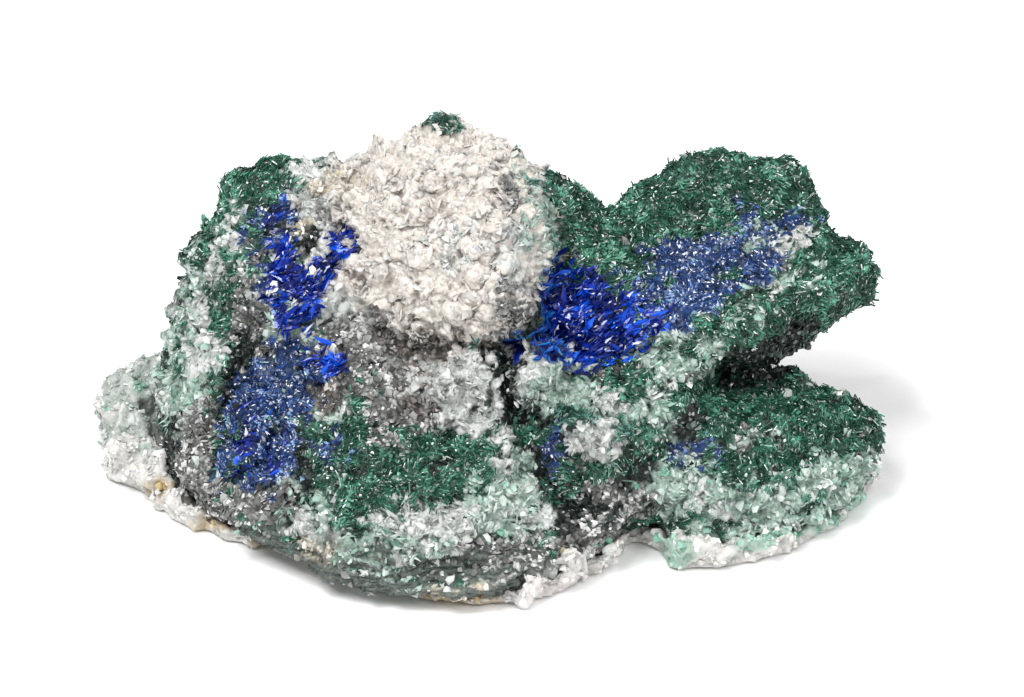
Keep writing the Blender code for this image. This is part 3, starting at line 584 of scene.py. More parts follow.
class Shader:
    """The node tree of one material."""

    def __init__(self, name: str) -> None:
        """Starts a material with an empty tree."""
        self.material = bpy.data.materials.new(name)
        self.material.use_nodes = True
        self.tree = self.material.node_tree
        self.tree.nodes.clear()

    def node(self, kind: str, settings: dict, values: dict, output: int | str = 0) -> Value:
        """Adds a node, sets it up and feeds its sockets.

        Args:
            kind: the node's type.
            settings: its properties; stops are a ramp's (place, colour) pairs.
            values: for each input's name or number, a number, a colour or a Value.
            output: the output to give back.

        Returns:
            The chosen output.
        """
        made = self.tree.nodes.new(kind)
        for key, setting in settings.items():
            if key == "stops":
                self._set_stops(made.color_ramp, setting)
            else:
                setattr(made, key, setting)
        for key, value in values.items():
            if isinstance(value, Value):
                self.tree.links.new(value.socket, made.inputs[key])
            elif isinstance(value, tuple) and len(value) == 3 and made.inputs[key].type == "RGBA":
                made.inputs[key].default_value = (*value, 1.0)
            else:
                made.inputs[key].default_value = value
        return Value(self, made.outputs[output])

    @staticmethod
    def _set_stops(ramp: bpy.types.ColorRamp, stops: list[tuple[float, Colour]]) -> None:
        """Writes a ramp's stops, lowest first."""
        while len(ramp.elements) < len(stops):
            ramp.elements.new(1.0)
        for element, (position, colour) in zip(ramp.elements, stops):
            element.position = position
            element.color = (*colour, 1.0)

    def attribute(self, name: str, output: str = "Fac") -> Value:
        """Reads an attribute of the piece."""
        return self.node("ShaderNodeAttribute", {"attribute_name": name}, {}, output)

    def place(self) -> Value:
        """Reads the piece's own coordinates."""
        return self.node("ShaderNodeTexCoord", {}, {}, "Object")

    def noise(self, cells_a_mm: float, detail: float = 3.0) -> Value:
        """Adds smooth noise with that many cells a millimetre."""
        return self.node(
            "ShaderNodeTexNoise", {}, {"Vector": self.place(), "Scale": cells_a_mm / MM, "Detail": detail}
        )

    def facets(self, cells_a_mm: float) -> tuple[Value, Value]:
        """Divides the surface into tiny tilted crystal facets.

        Args:
            cells_a_mm: how many facets a millimetre.

        Returns:
            A random value for each facet, and the height in millimetres of its tilted plane.
        """
        place = self.place()
        cell = self.node("ShaderNodeTexVoronoi", {}, {"Vector": place, "Scale": cells_a_mm / MM}, "Color")
        centre = Value(self, cell.socket.node.outputs["Position"])
        offset = self.node("ShaderNodeVectorMath", {"operation": "SUBTRACT"}, {0: place, 1: centre})
        tilt = self.node("ShaderNodeVectorMath", {"operation": "SUBTRACT"}, {0: cell, 1: (0.5, 0.5, 0.5)})
        rise = self.node("ShaderNodeVectorMath", {"operation": "DOT_PRODUCT"}, {0: offset, 1: tilt}, "Value")
        return self.node("ShaderNodeSeparateColor", {}, {0: cell}), rise * (1 / MM)

    def ramp(self, factor: Value, stops: list[tuple[float, Colour]]) -> Value:
        """Turns a value into a colour by a ramp."""
        return self.node("ShaderNodeValToRGB", {"stops": stops}, {0: factor})

    def mix(
        self, factor: Value | float, first: "Value | Colour", second: "Value | Colour", blend: str = "MIX"
    ) -> Value:
        """Mixes two colours.

        Args:
            factor: how much of the second is laid on the first.
            first: the colour at 0.
            second: the colour at 1.
            blend: how they are mixed.

        Returns:
            The mixed colour.
        """
        return self.node(
            "ShaderNodeMix",
            {"data_type": "RGBA", "blend_type": blend, "clamp_result": False},
            {0: factor, 6: first, 7: second},
            2,
        )

    def finish(
        self, colour: Value, roughness: Value | float, bump: Value | None, **constants: float | Colour
    ) -> bpy.types.Material:
        """Closes the tree with a Principled shader.

        Args:
            colour: its base colour.
            roughness: its roughness.
            bump: how far the surface is raised, in millimetres, or None.
            constants: other sockets, with underscores for spaces.

        Returns:
            The finished material.
        """
        inputs = {"Base Color": colour, "Roughness": roughness}
        for key, value in constants.items():
            inputs[key.replace("_", " ")] = value
        if bump:
            settings = {"Height": bump, "Strength": 1.0, "Distance": MM}
            inputs["Normal"] = self.node("ShaderNodeBump", {}, settings)
        surface = self.node("ShaderNodeBsdfPrincipled", {}, inputs)
        self._output(surface)
        return self.material

    def _output(self, surface: Value) -> None:
        """Links the surface to the material's output."""
        end = self.tree.nodes.new("ShaderNodeOutputMaterial")
        self.tree.links.new(surface.socket, end.inputs["Surface"])


@dataclass(frozen=True)
class CrystalFinish:
    """The gloss and clearness of one kind of crystal; its colours are the piece's own."""

    name: str
    roughness: float = 0.22
    ior: float = 1.6
    milkiness: float = 0.0
    milk_depth: float = 0.5

    def material(self) -> bpy.types.Material:
        """Builds the material, faintly streaked so that no crystal is of one even colour."""
        shader = Shader(self.name)
        own = shader.attribute("tint", "Color")
        streaks = shader.noise(3.0, 2.0)
        colour = shader.mix(streaks * 0.5, own, (0.62, 0.62, 0.62), "OVERLAY")
        roughness = streaks * 0.15 + (self.roughness - 0.05)
        return shader.finish(
            colour, roughness, None, IOR=self.ior, Subsurface_Weight=self.milkiness,
            Subsurface_Radius=(1.0, 1.0, 1.0), Subsurface_Scale=self.milk_depth * MM,
        )


@dataclass(frozen=True)
class RockFinish:
    """The ground under the crystals: its crust's colours as tiny facets, the brightest with painted glints,
    and thin level beds at its foot.
    """

    name: str = "rock_skin"
    facets_a_mm: float = 4.0
    tilt: float = 1.2
    milkiness: float = 0.1
    darkest: float = 0.45
    bed_dark: Colour = (0.022, 0.035, 0.03)
    bed_light: Colour = (0.11, 0.13, 0.114)
    beds_a_mm: float = 2.4

    def material(self) -> bpy.types.Material:
        """Builds the material."""
        shader = Shader(self.name)
        crust = shader.attribute("crust", "Color")
        pick, rise = shader.facets(self.facets_a_mm)
        half = 0.3 * self.darkest + 0.7
        shades = shader.ramp(pick, [(0.0, (self.darkest,) * 3), (0.5, (half,) * 3), (1.0, (1.0, 1.0, 1.0))])
        shaded = shader.mix(0.8, crust, shades, "MULTIPLY")
        # Painted glints: the brightest facets are mixed towards near white.
        painted_glint_facets = shader.mix(((pick - 0.9) * 20.0).held() * 0.35, shaded, (0.80, 0.84, 0.84))
        stretched = shader.node(
            "ShaderNodeMapping", {}, {"Vector": shader.place(), "Scale": (0.25, 0.25, self.beds_a_mm)}
        )
        bed = shader.node("ShaderNodeTexNoise", {}, {"Vector": stretched, "Scale": 1 / MM, "Detail": 3.0})
        dark, light = self.bed_dark, self.bed_light
        beds = shader.ramp(bed, [(0.38, dark), (0.44, light), (0.53, light), (0.58, dark), (0.64, light)])
        colour = shader.mix(shader.attribute("bedded"), painted_glint_facets, beds)
        height = rise * self.tilt + bed * 0.1 + shader.noise(2.6, 4.0) * 0.15
        roughness = shader.noise(2.5) * 0.3 + 0.25
        return shader.finish(
            colour, roughness, height, IOR=1.42, Subsurface_Weight=self.milkiness,
            Subsurface_Radius=(1.0, 1.0, 1.0), Subsurface_Scale=0.4 * MM,
        )


@dataclass(frozen=True)
class QuartzFinish:
    """Milky quartz: its tint, cloudy veils, and the gloss of broken faces."""

    name: str = "quartz_skin"
    veil: Colour = (0.90, 0.89, 0.87)
    depth: float = 1.0

    def material(self) -> bpy.types.Material:
        """Builds the material."""
        shader = Shader(self.name)
        tint = shader.attribute("crust", "Color")
        pick, rise = shader.facets(1.6)
        veiled = shader.mix(shader.noise(0.5, 4.0) * 0.5, tint, self.veil)
        colour = shader.mix(pick * 0.5, veiled, (0.62, 0.62, 0.60), "MULTIPLY")
        roughness = shader.noise(1.2) * 0.4 + 0.1
        height = rise * 0.5 + shader.noise(1.8, 5.0) * 0.25
        return shader.finish(
            colour, roughness, height, IOR=1.54, Subsurface_Weight=0.5,
            Subsurface_Radius=(1.0, 0.95, 0.9), Subsurface_Scale=self.depth * MM,
        )


class CrystalShape(Enum):
    """The forms that crystals are copied from."""

    NEEDLE = "needle"
    BLADE = "blade"
    FLAKE = "flake"
    GRAIN = "grain"


@dataclass(frozen=True)
class Pattern:
    """One crystal's mesh as arrays, a unit wide, thick and long, standing on its foot."""

    points: Array
    corners: Array
    starts: Array
    bake_uv: Array


class CrystalForge:
    """Models a few variants of each crystal form once and keeps them for copying."""

    variants = 4
    wobbles = {CrystalShape.BLADE: 0.07, CrystalShape.FLAKE: 0.14, CrystalShape.GRAIN: 0.16}

    def __init__(self) -> None:
        """Starts with no form made."""
        self.made: dict[CrystalShape, list[Pattern]] = {}

    def patterns(self, shape: CrystalShape) -> list[Pattern]:
        """Gives a form's variants, made at its first use."""
        if shape not in self.made:
            self.made[shape] = [self._pattern_of(self._model(shape, seed)) for seed in range(self.variants)]
        return self.made[shape]

    @classmethod
    def _model(cls, shape: CrystalShape, seed: int) -> bpy.types.Object:
        """Models one form with mesh operators.

        Args:
            shape: the form.
            seed: makes a variant's small irregularities.

        Returns:
            The mesh object.
        """
        bpy.ops.object.select_all(action="DESELECT")
        if shape in (CrystalShape.FLAKE, CrystalShape.BLADE):
            crystal = cls._lozenge(5 + seed % 2 if shape is CrystalShape.FLAKE else 4)
        else:
            crystal = cls._column(shape)
        bpy.ops.mesh.select_all(action="SELECT")
        if shape in cls.wobbles:
            bpy.ops.transform.vertex_random(offset=cls.wobbles[shape], uniform=1.0, normal=0.0, seed=seed)
        bpy.ops.mesh.quads_convert_to_tris()
        bpy.ops.uv.smart_project(island_margin=0.03)
        bpy.ops.object.mode_set(mode="OBJECT")
        return crystal

    @staticmethod
    def _lozenge(corners: int) -> bpy.types.Object:
        """Models a flat lozenge with sharp edges, standing on one corner, and leaves it in edit mode."""
        rise = 0.25
        bpy.ops.mesh.primitive_cone_add(
            vertices=corners, radius1=0.5, radius2=0.0, depth=2 * rise, end_fill_type="NOTHING",
            location=(0.0, -rise, 0.5), rotation=(math.radians(90), 0.0, 0.0),
        )
        flake = bpy.context.object
        bpy.ops.object.transform_apply(location=True, rotation=True, scale=False)
        bpy.ops.object.mode_set(mode="EDIT")
        bpy.ops.mesh.select_all(action="SELECT")
        bpy.ops.mesh.duplicate()
        bpy.ops.transform.resize(value=(1.0, -1.0, 1.0), center_override=(0.0, 0.0, 0.0))
        bpy.ops.mesh.select_all(action="SELECT")
        bpy.ops.mesh.remove_doubles(threshold=0.001)
        bpy.ops.mesh.normals_make_consistent(inside=False)
        return flake

    @classmethod
    def _column(cls, shape: CrystalShape) -> bpy.types.Object:
        """Models an upright crystal from a prism, and leaves it in edit mode."""
        sides = 3 if shape is CrystalShape.NEEDLE else 4
        bpy.ops.mesh.primitive_cylinder_add(vertices=sides, radius=0.5, depth=1.0, location=(0.0, 0.0, 0.5))
        crystal = bpy.context.object
        bpy.ops.object.transform_apply(location=True, rotation=False, scale=False)
        bpy.ops.object.mode_set(mode="EDIT")
        bpy.ops.mesh.select_all(action="DESELECT")
        cls._select_top(crystal)
        if shape is CrystalShape.NEEDLE:
            bpy.ops.mesh.merge(type="CENTER", uvs=False)
        else:
            bpy.ops.transform.resize(value=(0.7, 0.8, 1.0))
        return crystal

    @staticmethod
    def _select_top(crystal: bpy.types.Object) -> None:
        """Selects the face at a crystal's upper end."""
        shown = bmesh.from_edit_mesh(crystal.data)
        for face in shown.faces:
            face.select_set(face.normal.z > 0.9)
        shown.select_flush(True)
        bmesh.update_edit_mesh(crystal.data)

    @staticmethod
    def _pattern_of(crystal: bpy.types.Object) -> Pattern:
        """Reads a modelled form into arrays, and removes its object."""
        mesh = crystal.data
        points = np.empty(len(mesh.vertices) * 3)
        mesh.vertices.foreach_get("co", points)
        corners = np.empty(len(mesh.loops), int)
        mesh.loops.foreach_get("vertex_index", corners)
        starts = np.empty(len(mesh.polygons), int)
        mesh.polygons.foreach_get("loop_start", starts)
        spots = np.empty(len(mesh.loops) * 2)
        mesh.uv_layers.active.data.foreach_get("uv", spots)
        bpy.data.objects.remove(crystal, do_unlink=True)
        bpy.data.meshes.remove(mesh)
        return Pattern(points.reshape(-1, 3), corners, starts, spots.reshape(-1, 2))


@dataclass(frozen=True)
class Growth:
    """How one kind of crystal covers a surface; lean is from upright, least and most, in degrees."""

    shape: CrystalShape
    per_square_mm: float
    length: float
    width: float
    thickness: float
    lean: tuple[float, float]
    spread: float = 0.35
    sink: float = 0.25


class Surface:
    """A skin's triangles, to scatter crystals over."""

    def __init__(self, skin: bpy.types.Object) -> None:
        """Reads the skin's mesh in millimetres."""
        mesh = skin.data
        mesh.calc_loop_triangles()
        points = np.empty(len(mesh.vertices) * 3)
        mesh.vertices.foreach_get("co", points)
        self.points = points.reshape(-1, 3) / MM
        normals = np.empty(len(mesh.vertices) * 3)
        mesh.vertices.foreach_get("normal", normals)
        self.normals = normals.reshape(-1, 3)
        corners = np.empty(len(mesh.loop_triangles) * 3, int)
        mesh.loop_triangles.foreach_get("vertices", corners)
        self.triangles = corners.reshape(-1, 3)
        first, second, third = (self.points[self.triangles[:, i]] for i in range(3))
        self.areas = np.linalg.norm(np.cross(second - first, third - first), axis=1) / 2

    def scatter(self, per_square_mm: float, chance: np.random.Generator) -> tuple[Array, Array]:
        """Picks points evenly over the surface.

        Args:
            per_square_mm: how many points a square millimetre.
            chance: the seeded random source.

        Returns:
            The points in millimetres, and the unit normals there.
        """
        count = int(self.areas.sum() * per_square_mm)
        picked = chance.choice(len(self.areas), count, p=self.areas / self.areas.sum())
        shares = np.sort(chance.random((count, 2)), axis=1)
        weights = np.stack([shares[:, 0], shares[:, 1] - shares[:, 0], 1 - shares[:, 1]], axis=1)
        corners = self.triangles[picked]
        points = np.einsum("nk,nkd->nd", weights, self.points[corners])
        normals = np.einsum("nk,nkd->nd", weights, self.normals[corners])
        return points, normals / np.linalg.norm(normals, axis=1, keepdims=True)


@dataclass
class CrystalCrop:
    """Crystals gathered for one piece, as arrays."""

    forge: CrystalForge
    chance: np.random.Generator
    points: list[Array] = field(default_factory=list)
    corners: list[Array] = field(default_factory=list)
    starts: list[Array] = field(default_factory=list)
    colours: list[Array] = field(default_factory=list)
    spots: list[Array] = field(default_factory=list)
    vertex_count: int = 0
    loop_count: int = 0
    spray: float = 0.7
    clump_tone_and_shade: float = 0.8
    jitter: float = 0.3
    pull: float = 2.0
    twist: float = 0.5

    def grow(
        self, growth: Growth, palette: Palette, places: Array, normals: Array, aim: Array | None = None
    ) -> None:
        """Grows one crystal at each place.

        Args:
            growth: the form, its sizes and lean.
            palette: its colours.
            places: where the crystals' feet are, in millimetres.
            normals: the surface's normals there.
            aim: a direction that the crystals lean along, or None.
        """
        patterns = self.forge.patterns(growth.shape)
        share = self.chance.integers(len(patterns), size=len(places))
        for number, pattern in enumerate(patterns):
            mine = share == number
            if mine.any():
                self._grow_pattern(pattern, growth, palette, places[mine], normals[mine], aim)

    def _grow_pattern(
        self, pattern: Pattern, growth: Growth, palette: Palette, places: Array, normals: Array,
        aim: Array | None,
    ) -> None:
        """Grows copies of one pattern; the arguments are as in grow."""
        number = len(places)
        chance = self.chance
        drift = np.stack([noise_at(places, self.spray, shift) for shift in (31.0, 37.0, 41.0)], axis=1)
        swing = chance.normal(size=(number, 3)) * self.jitter + drift * self.pull
        if aim is not None:
            swing = swing * 0.5 + aim * chance.choice([-1.0, 1.0], size=(number, 1))
        swing -= normals * np.einsum("nd,nd->n", swing, normals)[:, None]
        swing /= np.linalg.norm(swing, axis=1, keepdims=True)
        angle = np.radians(chance.uniform(*growth.lean, size=number))[:, None]
        along = normals * np.cos(angle) + swing * np.sin(angle)
        side = np.cross(along, normals) + self.twist * chance.normal(size=(number, 3))
        side -= along * np.einsum("nd,nd->n", side, along)[:, None]
        side /= np.linalg.norm(side, axis=1, keepdims=True)
        other = np.cross(along, side)
        # Crystals on clump tops are painted lighter and those in the creases darker, as painted shade, over a
        # random tone.
        clump_tone_and_shade = 0.1 + 0.6 * clump_height(places) + 0.5 * noise_at(places, self.clump_tone_and_shade, 43.0)
        clump_tone_and_shade += 0.15 * chance.normal(size=number)
        # A share of the crystals are painted glints: near white, and smaller.
        painted_glint = chance.random(number) < palette.painted_glint_share
        shades = np.where(painted_glint, 1.0, np.clip(clump_tone_and_shade, 0.0, 0.98 - palette.painted_glint_share))
        hidden = smooth_step(0.1, -0.3, normals @ FACE.outward())
        scale = np.clip(np.exp(chance.normal(size=number) * growth.spread), 0.4, 1.9)
        scale *= np.where(painted_glint, 0.7, 1.0) * (1.0 + 0.35 * hidden)
        unit = pattern.points
        shaped = (
            unit[None, :, 0:1] * side[:, None, :] * growth.width
            + unit[None, :, 1:2] * other[:, None, :] * growth.thickness
            + (unit[None, :, 2:3] - growth.sink) * along[:, None, :] * growth.length
        )
        grown = places[:, None, :] + shaped * scale[:, None, None]
        kept = grown[:, :, 2].min(axis=1) > FLOOR_CLEARANCE
        grown, shades = grown[kept], shades[kept]
        number = len(grown)
        steps = np.arange(number)[:, None]
        self.points.append(grown.reshape(-1, 3))
        self.corners.append((pattern.corners[None, :] + steps * len(unit) + self.vertex_count).ravel())
        self.starts.append((pattern.starts[None, :] + steps * len(pattern.corners) + self.loop_count).ravel())
        self.colours.append(palette.colours(np.repeat(shades, len(unit)), np.tile(unit[:, 2], number)))
        self.spots.append(np.broadcast_to(pattern.bake_uv, (number, *pattern.bake_uv.shape)))
        self.vertex_count += number * len(unit)
        self.loop_count += number * len(pattern.corners)

    def piece(self, name: str, finish: CrystalFinish, slot: str) -> bpy.types.Object:
        """Makes the gathered crystals one piece that rides on the specimen.

        Args:
            name: the piece's name.
            finish: its finish.
            slot: the record's material slot; not used.

        Returns:
            The piece.
        """
        mesh = bpy.data.meshes.new(name)
        starts = np.concatenate(self.starts)
        mesh.vertices.add(self.vertex_count)
        mesh.vertices.foreach_set("co", (np.concatenate(self.points) * MM).ravel())
        mesh.loops.add(self.loop_count)
        mesh.loops.foreach_set("vertex_index", np.concatenate(self.corners).astype(np.int32))
        mesh.polygons.add(len(starts))
        mesh.polygons.foreach_set("loop_start", starts.astype(np.int32))
        mesh.update(calc_edges=True)
        mesh.shade_flat()
        write_colours(mesh, "tint", np.concatenate(self.colours))
        layer = mesh.uv_layers.new(name=BAKE_MAP)
        layer.data.foreach_set("uv", self._bake_spots().astype(np.float32).ravel())
        mesh.materials.append(finish.material())
        piece = bpy.data.objects.new(name, mesh)
        bpy.context.scene.collection.objects.link(piece)
        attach(piece, BODY)
        LOG.info("%s: %d triangles", name, len(starts))
        return piece

    def _bake_spots(self) -> Array:
        """Gives each crystal its own cell of the bake map."""
        across = math.ceil(math.sqrt(sum(len(spots) for spots in self.spots)))
        cells, first = [], 0
        for spots in self.spots:
            index = first + np.arange(len(spots))
            corner = np.stack([index % across, index // across], axis=1)[:, None, :]
            cells.append(((corner + 0.04 + spots * 0.92) / across).reshape(-1, 2))
            first += len(spots)
        return np.concatenate(cells)


def write_attribute(mesh: bpy.types.Mesh, name: str, values: Array) -> None:
    """Writes one number for each vertex."""
    attribute = mesh.attributes.new(name, "FLOAT", "POINT")
    attribute.data.foreach_set("value", values.astype(np.float32))


def write_colours(mesh: bpy.types.Mesh, name: str, colours: Array) -> None:
    """Writes one colour for each vertex."""
    attribute = mesh.attributes.new(name, "FLOAT_COLOR", "POINT")
    full = np.concatenate([colours, np.ones((len(colours), 1))], axis=1)
    attribute.data.foreach_set("color", full.astype(np.float32).ravel())


def apply_modifier(piece: bpy.types.Object, kind: str, **settings: float | int | str) -> None:
    """Adds a modifier to a piece and applies it."""
    bpy.ops.object.select_all(action="DESELECT")
    bpy.context.view_layer.objects.active = piece
    piece.select_set(True)
    modifier = piece.modifiers.new(kind.title(), kind)
    for key, value in settings.items():
        setattr(modifier, key, value)
    bpy.ops.object.modifier_apply(modifier=modifier.name)


@dataclass
class Skin:
    """A finely divided copy of a node's solid, with the small relief that the solid leaves out."""

    node: str
    name: str
    slot: str
    voxel: float = 0.42
    smoothing: int = 4
    relief: OverSurface | None = None

    def build(self) -> bpy.types.Object:
        """Copies, remeshes and roughens the node's surface.

        Returns:
            The skin, which stands for the node.
        """
        source = bpy.data.objects[self.node]
        mesh = source.data.copy()
        mesh.name = self.name
        mesh.materials.clear()
        skin = bpy.data.objects.new(self.name, mesh)
        bpy.context.scene.collection.objects.link(skin)
        loose = bmesh.new()
        loose.from_mesh(mesh)
        bmesh.ops.remove_doubles(loose, verts=loose.verts, dist=MERGE_DISTANCE_M)
        loose.to_mesh(mesh)
        loose.free()
        apply_modifier(skin, "REMESH", mode="VOXEL", voxel_size=self.voxel * MM)
        if self.smoothing:
            apply_modifier(skin, "SMOOTH", factor=0.5, iterations=self.smoothing)
        self._raise(skin)
        skin.data.shade_smooth()
        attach(skin, BODY)
        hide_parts(self.node)
        LOG.info("%s: %d faces", self.name, len(skin.data.polygons))
        return skin

    def _raise(self, skin: bpy.types.Object) -> None:
        """Moves the skin's vertices along their normals by its relief, and keeps them off the floor."""
        surface = Surface(skin)
        points = surface.points
        if self.relief:
            points = points + surface.normals * self.relief(points, surface.normals)[:, None]
        points[:, 2] = np.maximum(points[:, 2], 0.0)
        skin.data.vertices.foreach_set("co", (points * MM).ravel())
        skin.data.update()


def crust_relief(points: Array, normals: Array) -> Array:
    """Gives the height of lumps and pits, and of the rounded clumps that the bright minerals form."""
    shares = CRUST_MAP.shares(points, normals)
    bright = shares[Mineral.WHITE] + shares[Mineral.PALE] + shares[Mineral.CREAM] + 0.5 * shares[Mineral.TAN]
    bright = np.clip(bright, 0.0, 1.0)
    lumps = 0.4 * noise_at(points, 0.38, 2.0) + 0.25 * noise_at(points, 0.9, 5.0)
    clumps = (0.22 + 0.88 * bright) * clump_height(points) - 0.4 * bright
    fine = 0.25 * np.abs(noise_at(points, 2.1, 19.0))
    plates = bright * (0.25 * leaf_height(points, 0.3) + plate_height(points, 1.1, 0.5))
    return lumps + clumps + fine + plates - 0.2


def cluster_relief(points: Array, normals: Array) -> Array:
    """Gives the height of a cluster's clumps, which only rise outward, because the clusters are thin."""
    return np.maximum(crust_relief(points, normals), 0.0) * smooth_step(-0.1, 0.4, normals @ FACE.outward())


def paint_ground(skin: bpy.types.Object, patch_map: PatchMap, ground: dict[Enum, Colour]) -> None:
    """Writes the colour that lies under the crystals to a skin's vertices.

    Args:
        skin: the skin.
        patch_map: what prevails where.
        ground: the colour of each kind.
    """
    surface = Surface(skin)
    shares = patch_map.shares(surface.points, surface.normals)
    colours = sum(shares[kind][:, None] * np.array(colour)[None, :] for kind, colour in ground.items())
    write_colours(skin.data, "crust", colours)


CRUST_GROUND = {kind: palette.ground() for kind, palette in PALETTES.items()}
BLADE_RISE = 0.6
FACE_RISING = np.array([math.cos(BLADE_RISE), 0.0, 0.0]) + math.sin(BLADE_RISE) * np.array(
    [0.0, math.sin(FACE.lean), math.cos(FACE.lean)]
)
GROWTHS: dict[Enum, list[Growth]] = {
    Mineral.GREEN: [
        Growth(CrystalShape.FLAKE, 14.0, 0.28, 0.19, 0.08, (50, 87)),
        Growth(CrystalShape.NEEDLE, 18.0, 0.48, 0.075, 0.07, (68, 89)),
    ],
    Mineral.PALE: [
        Growth(CrystalShape.FLAKE, 5.0, 0.50, 0.38, 0.10, (60, 88), 0.35, 0.35),
        Growth(CrystalShape.BLADE, 1.0, 0.62, 0.16, 0.08, (45, 85)),
    ],
    Mineral.GREY: [
        Growth(CrystalShape.FLAKE, 12.0, 0.42, 0.33, 0.12, (45, 87)),
        Growth(CrystalShape.GRAIN, 2.0, 0.26, 0.25, 0.20, (20, 80)),
    ],
    Mineral.DUST: [
        Growth(CrystalShape.BLADE, 12.0, 0.44, 0.12, 0.06, (55, 87)),
        Growth(CrystalShape.FLAKE, 15.0, 0.26, 0.18, 0.08, (40, 86)),
    ],
    Mineral.BLUE: [
        Growth(CrystalShape.BLADE, 15.0, 1.0, 0.24, 0.09, (60, 88)),
        Growth(CrystalShape.FLAKE, 8.0, 0.55, 0.34, 0.08, (55, 88)),
    ],
    Mineral.WHITE: [
        Growth(CrystalShape.FLAKE, 4.0, 0.50, 0.40, 0.10, (60, 88), 0.35, 0.35),
        Growth(CrystalShape.FLAKE, 0.7, 0.80, 0.52, 0.10, (50, 84)),
    ],
    Mineral.CREAM: [
        Growth(CrystalShape.FLAKE, 1.4, 0.55, 0.40, 0.10, (62, 88), 0.35, 0.35),
        Growth(CrystalShape.FLAKE, 0.3, 0.90, 0.50, 0.10, (55, 84)),
    ],
    Mineral.TAN: [Growth(CrystalShape.FLAKE, 9.0, 0.44, 0.34, 0.10, (60, 89), 0.35, 0.35)],
    Mineral.BROWN: [Growth(CrystalShape.FLAKE, 14.0, 0.40, 0.32, 0.14, (35, 84))],
    Mineral.BARE_AND_SHADE: [Growth(CrystalShape.GRAIN, 3.0, 0.3, 0.3, 0.2, (20, 80))],
}
MOST_PER_SQUARE_MM = max(sum(growth.per_square_mm for growth in growths) for growths in GROWTHS.values())


class OpenAir:
    """Tells where the skins are open to the air, by looking out from them in several directions."""

    reach = 4.0
    tilt = math.radians(50)
    looks = 6

    def __init__(self, skins: list[Surface]) -> None:
        """Gathers all the skins in one tree."""
        starts = np.cumsum([0] + [len(skin.points) for skin in skins[:-1]])
        points = np.concatenate([skin.points for skin in skins])
        triangles = np.concatenate([skin.triangles + start for skin, start in zip(skins, starts)])
        self.tree = BVHTree.FromPolygons(points.tolist(), triangles.tolist())

    def sees(self, point: Vector, normal: Vector) -> bool:
        """Says whether any look out from a point meets nothing."""
        start = point + normal * 0.1
        across = normal.orthogonal().normalized()
        around = normal.cross(across)
        if self.tree.ray_cast(start, normal, self.reach)[0] is None:
            return True
        for number in range(self.looks - 1):
            turn = math.tau * number / (self.looks - 1)
            side = across * math.cos(turn) + around * math.sin(turn)
            look = normal * math.cos(self.tilt) + side * math.sin(self.tilt)
            if self.tree.ray_cast(start, look, self.reach)[0] is None:
                return True
        return False

    def open(self, points: Array, normals: Array) -> Array:
        """Says which points of a skin are open to the air."""
        rows = zip(points.tolist(), normals.tolist())
        return np.array([self.sees(Vector(point), Vector(normal)) for point, normal in rows])


@dataclass
class Seeding:
    """The places on a surface where crystals start, each with its mineral."""

    points: Array
    normals: Array
    minerals: Array
    growths: Array

    @classmethod
    def of(
        cls, surface: Surface, air: OpenAir, chance: np.random.Generator, thinning: OverSurface
    ) -> "Seeding":
        """Seeds a surface by the crust map.

        Args:
            surface: where the crystals grow.
            air: tells where the surface is open to the air.
            chance: the seeded random source.
            thinning: gives, for points and normals, the share of the crystals to keep.

        Returns:
            The places kept.
        """
        points, normals = surface.scatter(MOST_PER_SQUARE_MM, chance)
        kept = chance.random(len(points)) < thinning(points, normals)
        points, normals = points[kept], normals[kept]
        kept = air.open(points, normals)
        points, normals = points[kept], normals[kept]
        shares = CRUST_MAP.shares(points, normals)
        levels = np.cumsum([shares[mineral] for mineral in GROWTHS], axis=0)
        minerals = (chance.random(len(points))[None, :] > levels).sum(axis=0)
        return cls(points, normals, minerals, chance.random(len(points)) * MOST_PER_SQUARE_MM)

    def grow(self, crop: CrystalCrop, wanted: list[Mineral], shapes: list[CrystalShape]) -> None:
        """Grows the crystals of some minerals.

        Args:
            crop: what the crystals are gathered in.
            wanted: the minerals.
            shapes: the crystal forms wanted.
        """
        for number, (mineral, growths) in enumerate(GROWTHS.items()):
            lowest = 0.0
            for growth in growths:
                highest = lowest + growth.per_square_mm
                chosen = (self.minerals == number) & (self.growths >= lowest) & (self.growths < highest)
                lowest = highest
                if mineral in wanted and growth.shape in shapes and chosen.any():
                    aim = FACE_RISING if mineral is Mineral.BLUE else None
                    crop.grow(growth, PALETTES[mineral], self.points[chosen], self.normals[chosen], aim)


def fewer_behind(points: Array, normals: Array) -> Array:
    """Thins the crystals out on the sides away from the crystal face, most of all below."""
    shown = smooth_step(-0.3, 0.2, normals @ FACE.outward())
    return (0.27 + 0.73 * shown) * (1.0 - 0.5 * smooth_step(-0.3, -0.8, normals[:, 2]))


SHAPES = list(CrystalShape)
GREEN_FINISH = CrystalFinish("green_crystal", 0.17, 1.48)
PALE_FINISH = CrystalFinish("pale_crystal", 0.3, 1.5, 0.6)
GREY_FINISH = CrystalFinish("grey_crystal", 0.14, 1.55, 0.3)
BLUE_FINISH = CrystalFinish("blue_crystal", 0.16, 1.52)
SUGAR_FINISH = CrystalFinish("sugar_crystal", 0.4, 1.45, 0.8, 0.8)
QUARTZ_GRAIN_FINISH = CrystalFinish("quartz_grain", 0.15, 1.54, 0.7)


@dataclass(frozen=True)
class Crust:
    """One piece of the rock's crust: its minerals and crystal forms, its finish and slot."""

    name: str
    minerals: list[Mineral]
    shapes: list[CrystalShape]
    finish: CrystalFinish
    slot: str


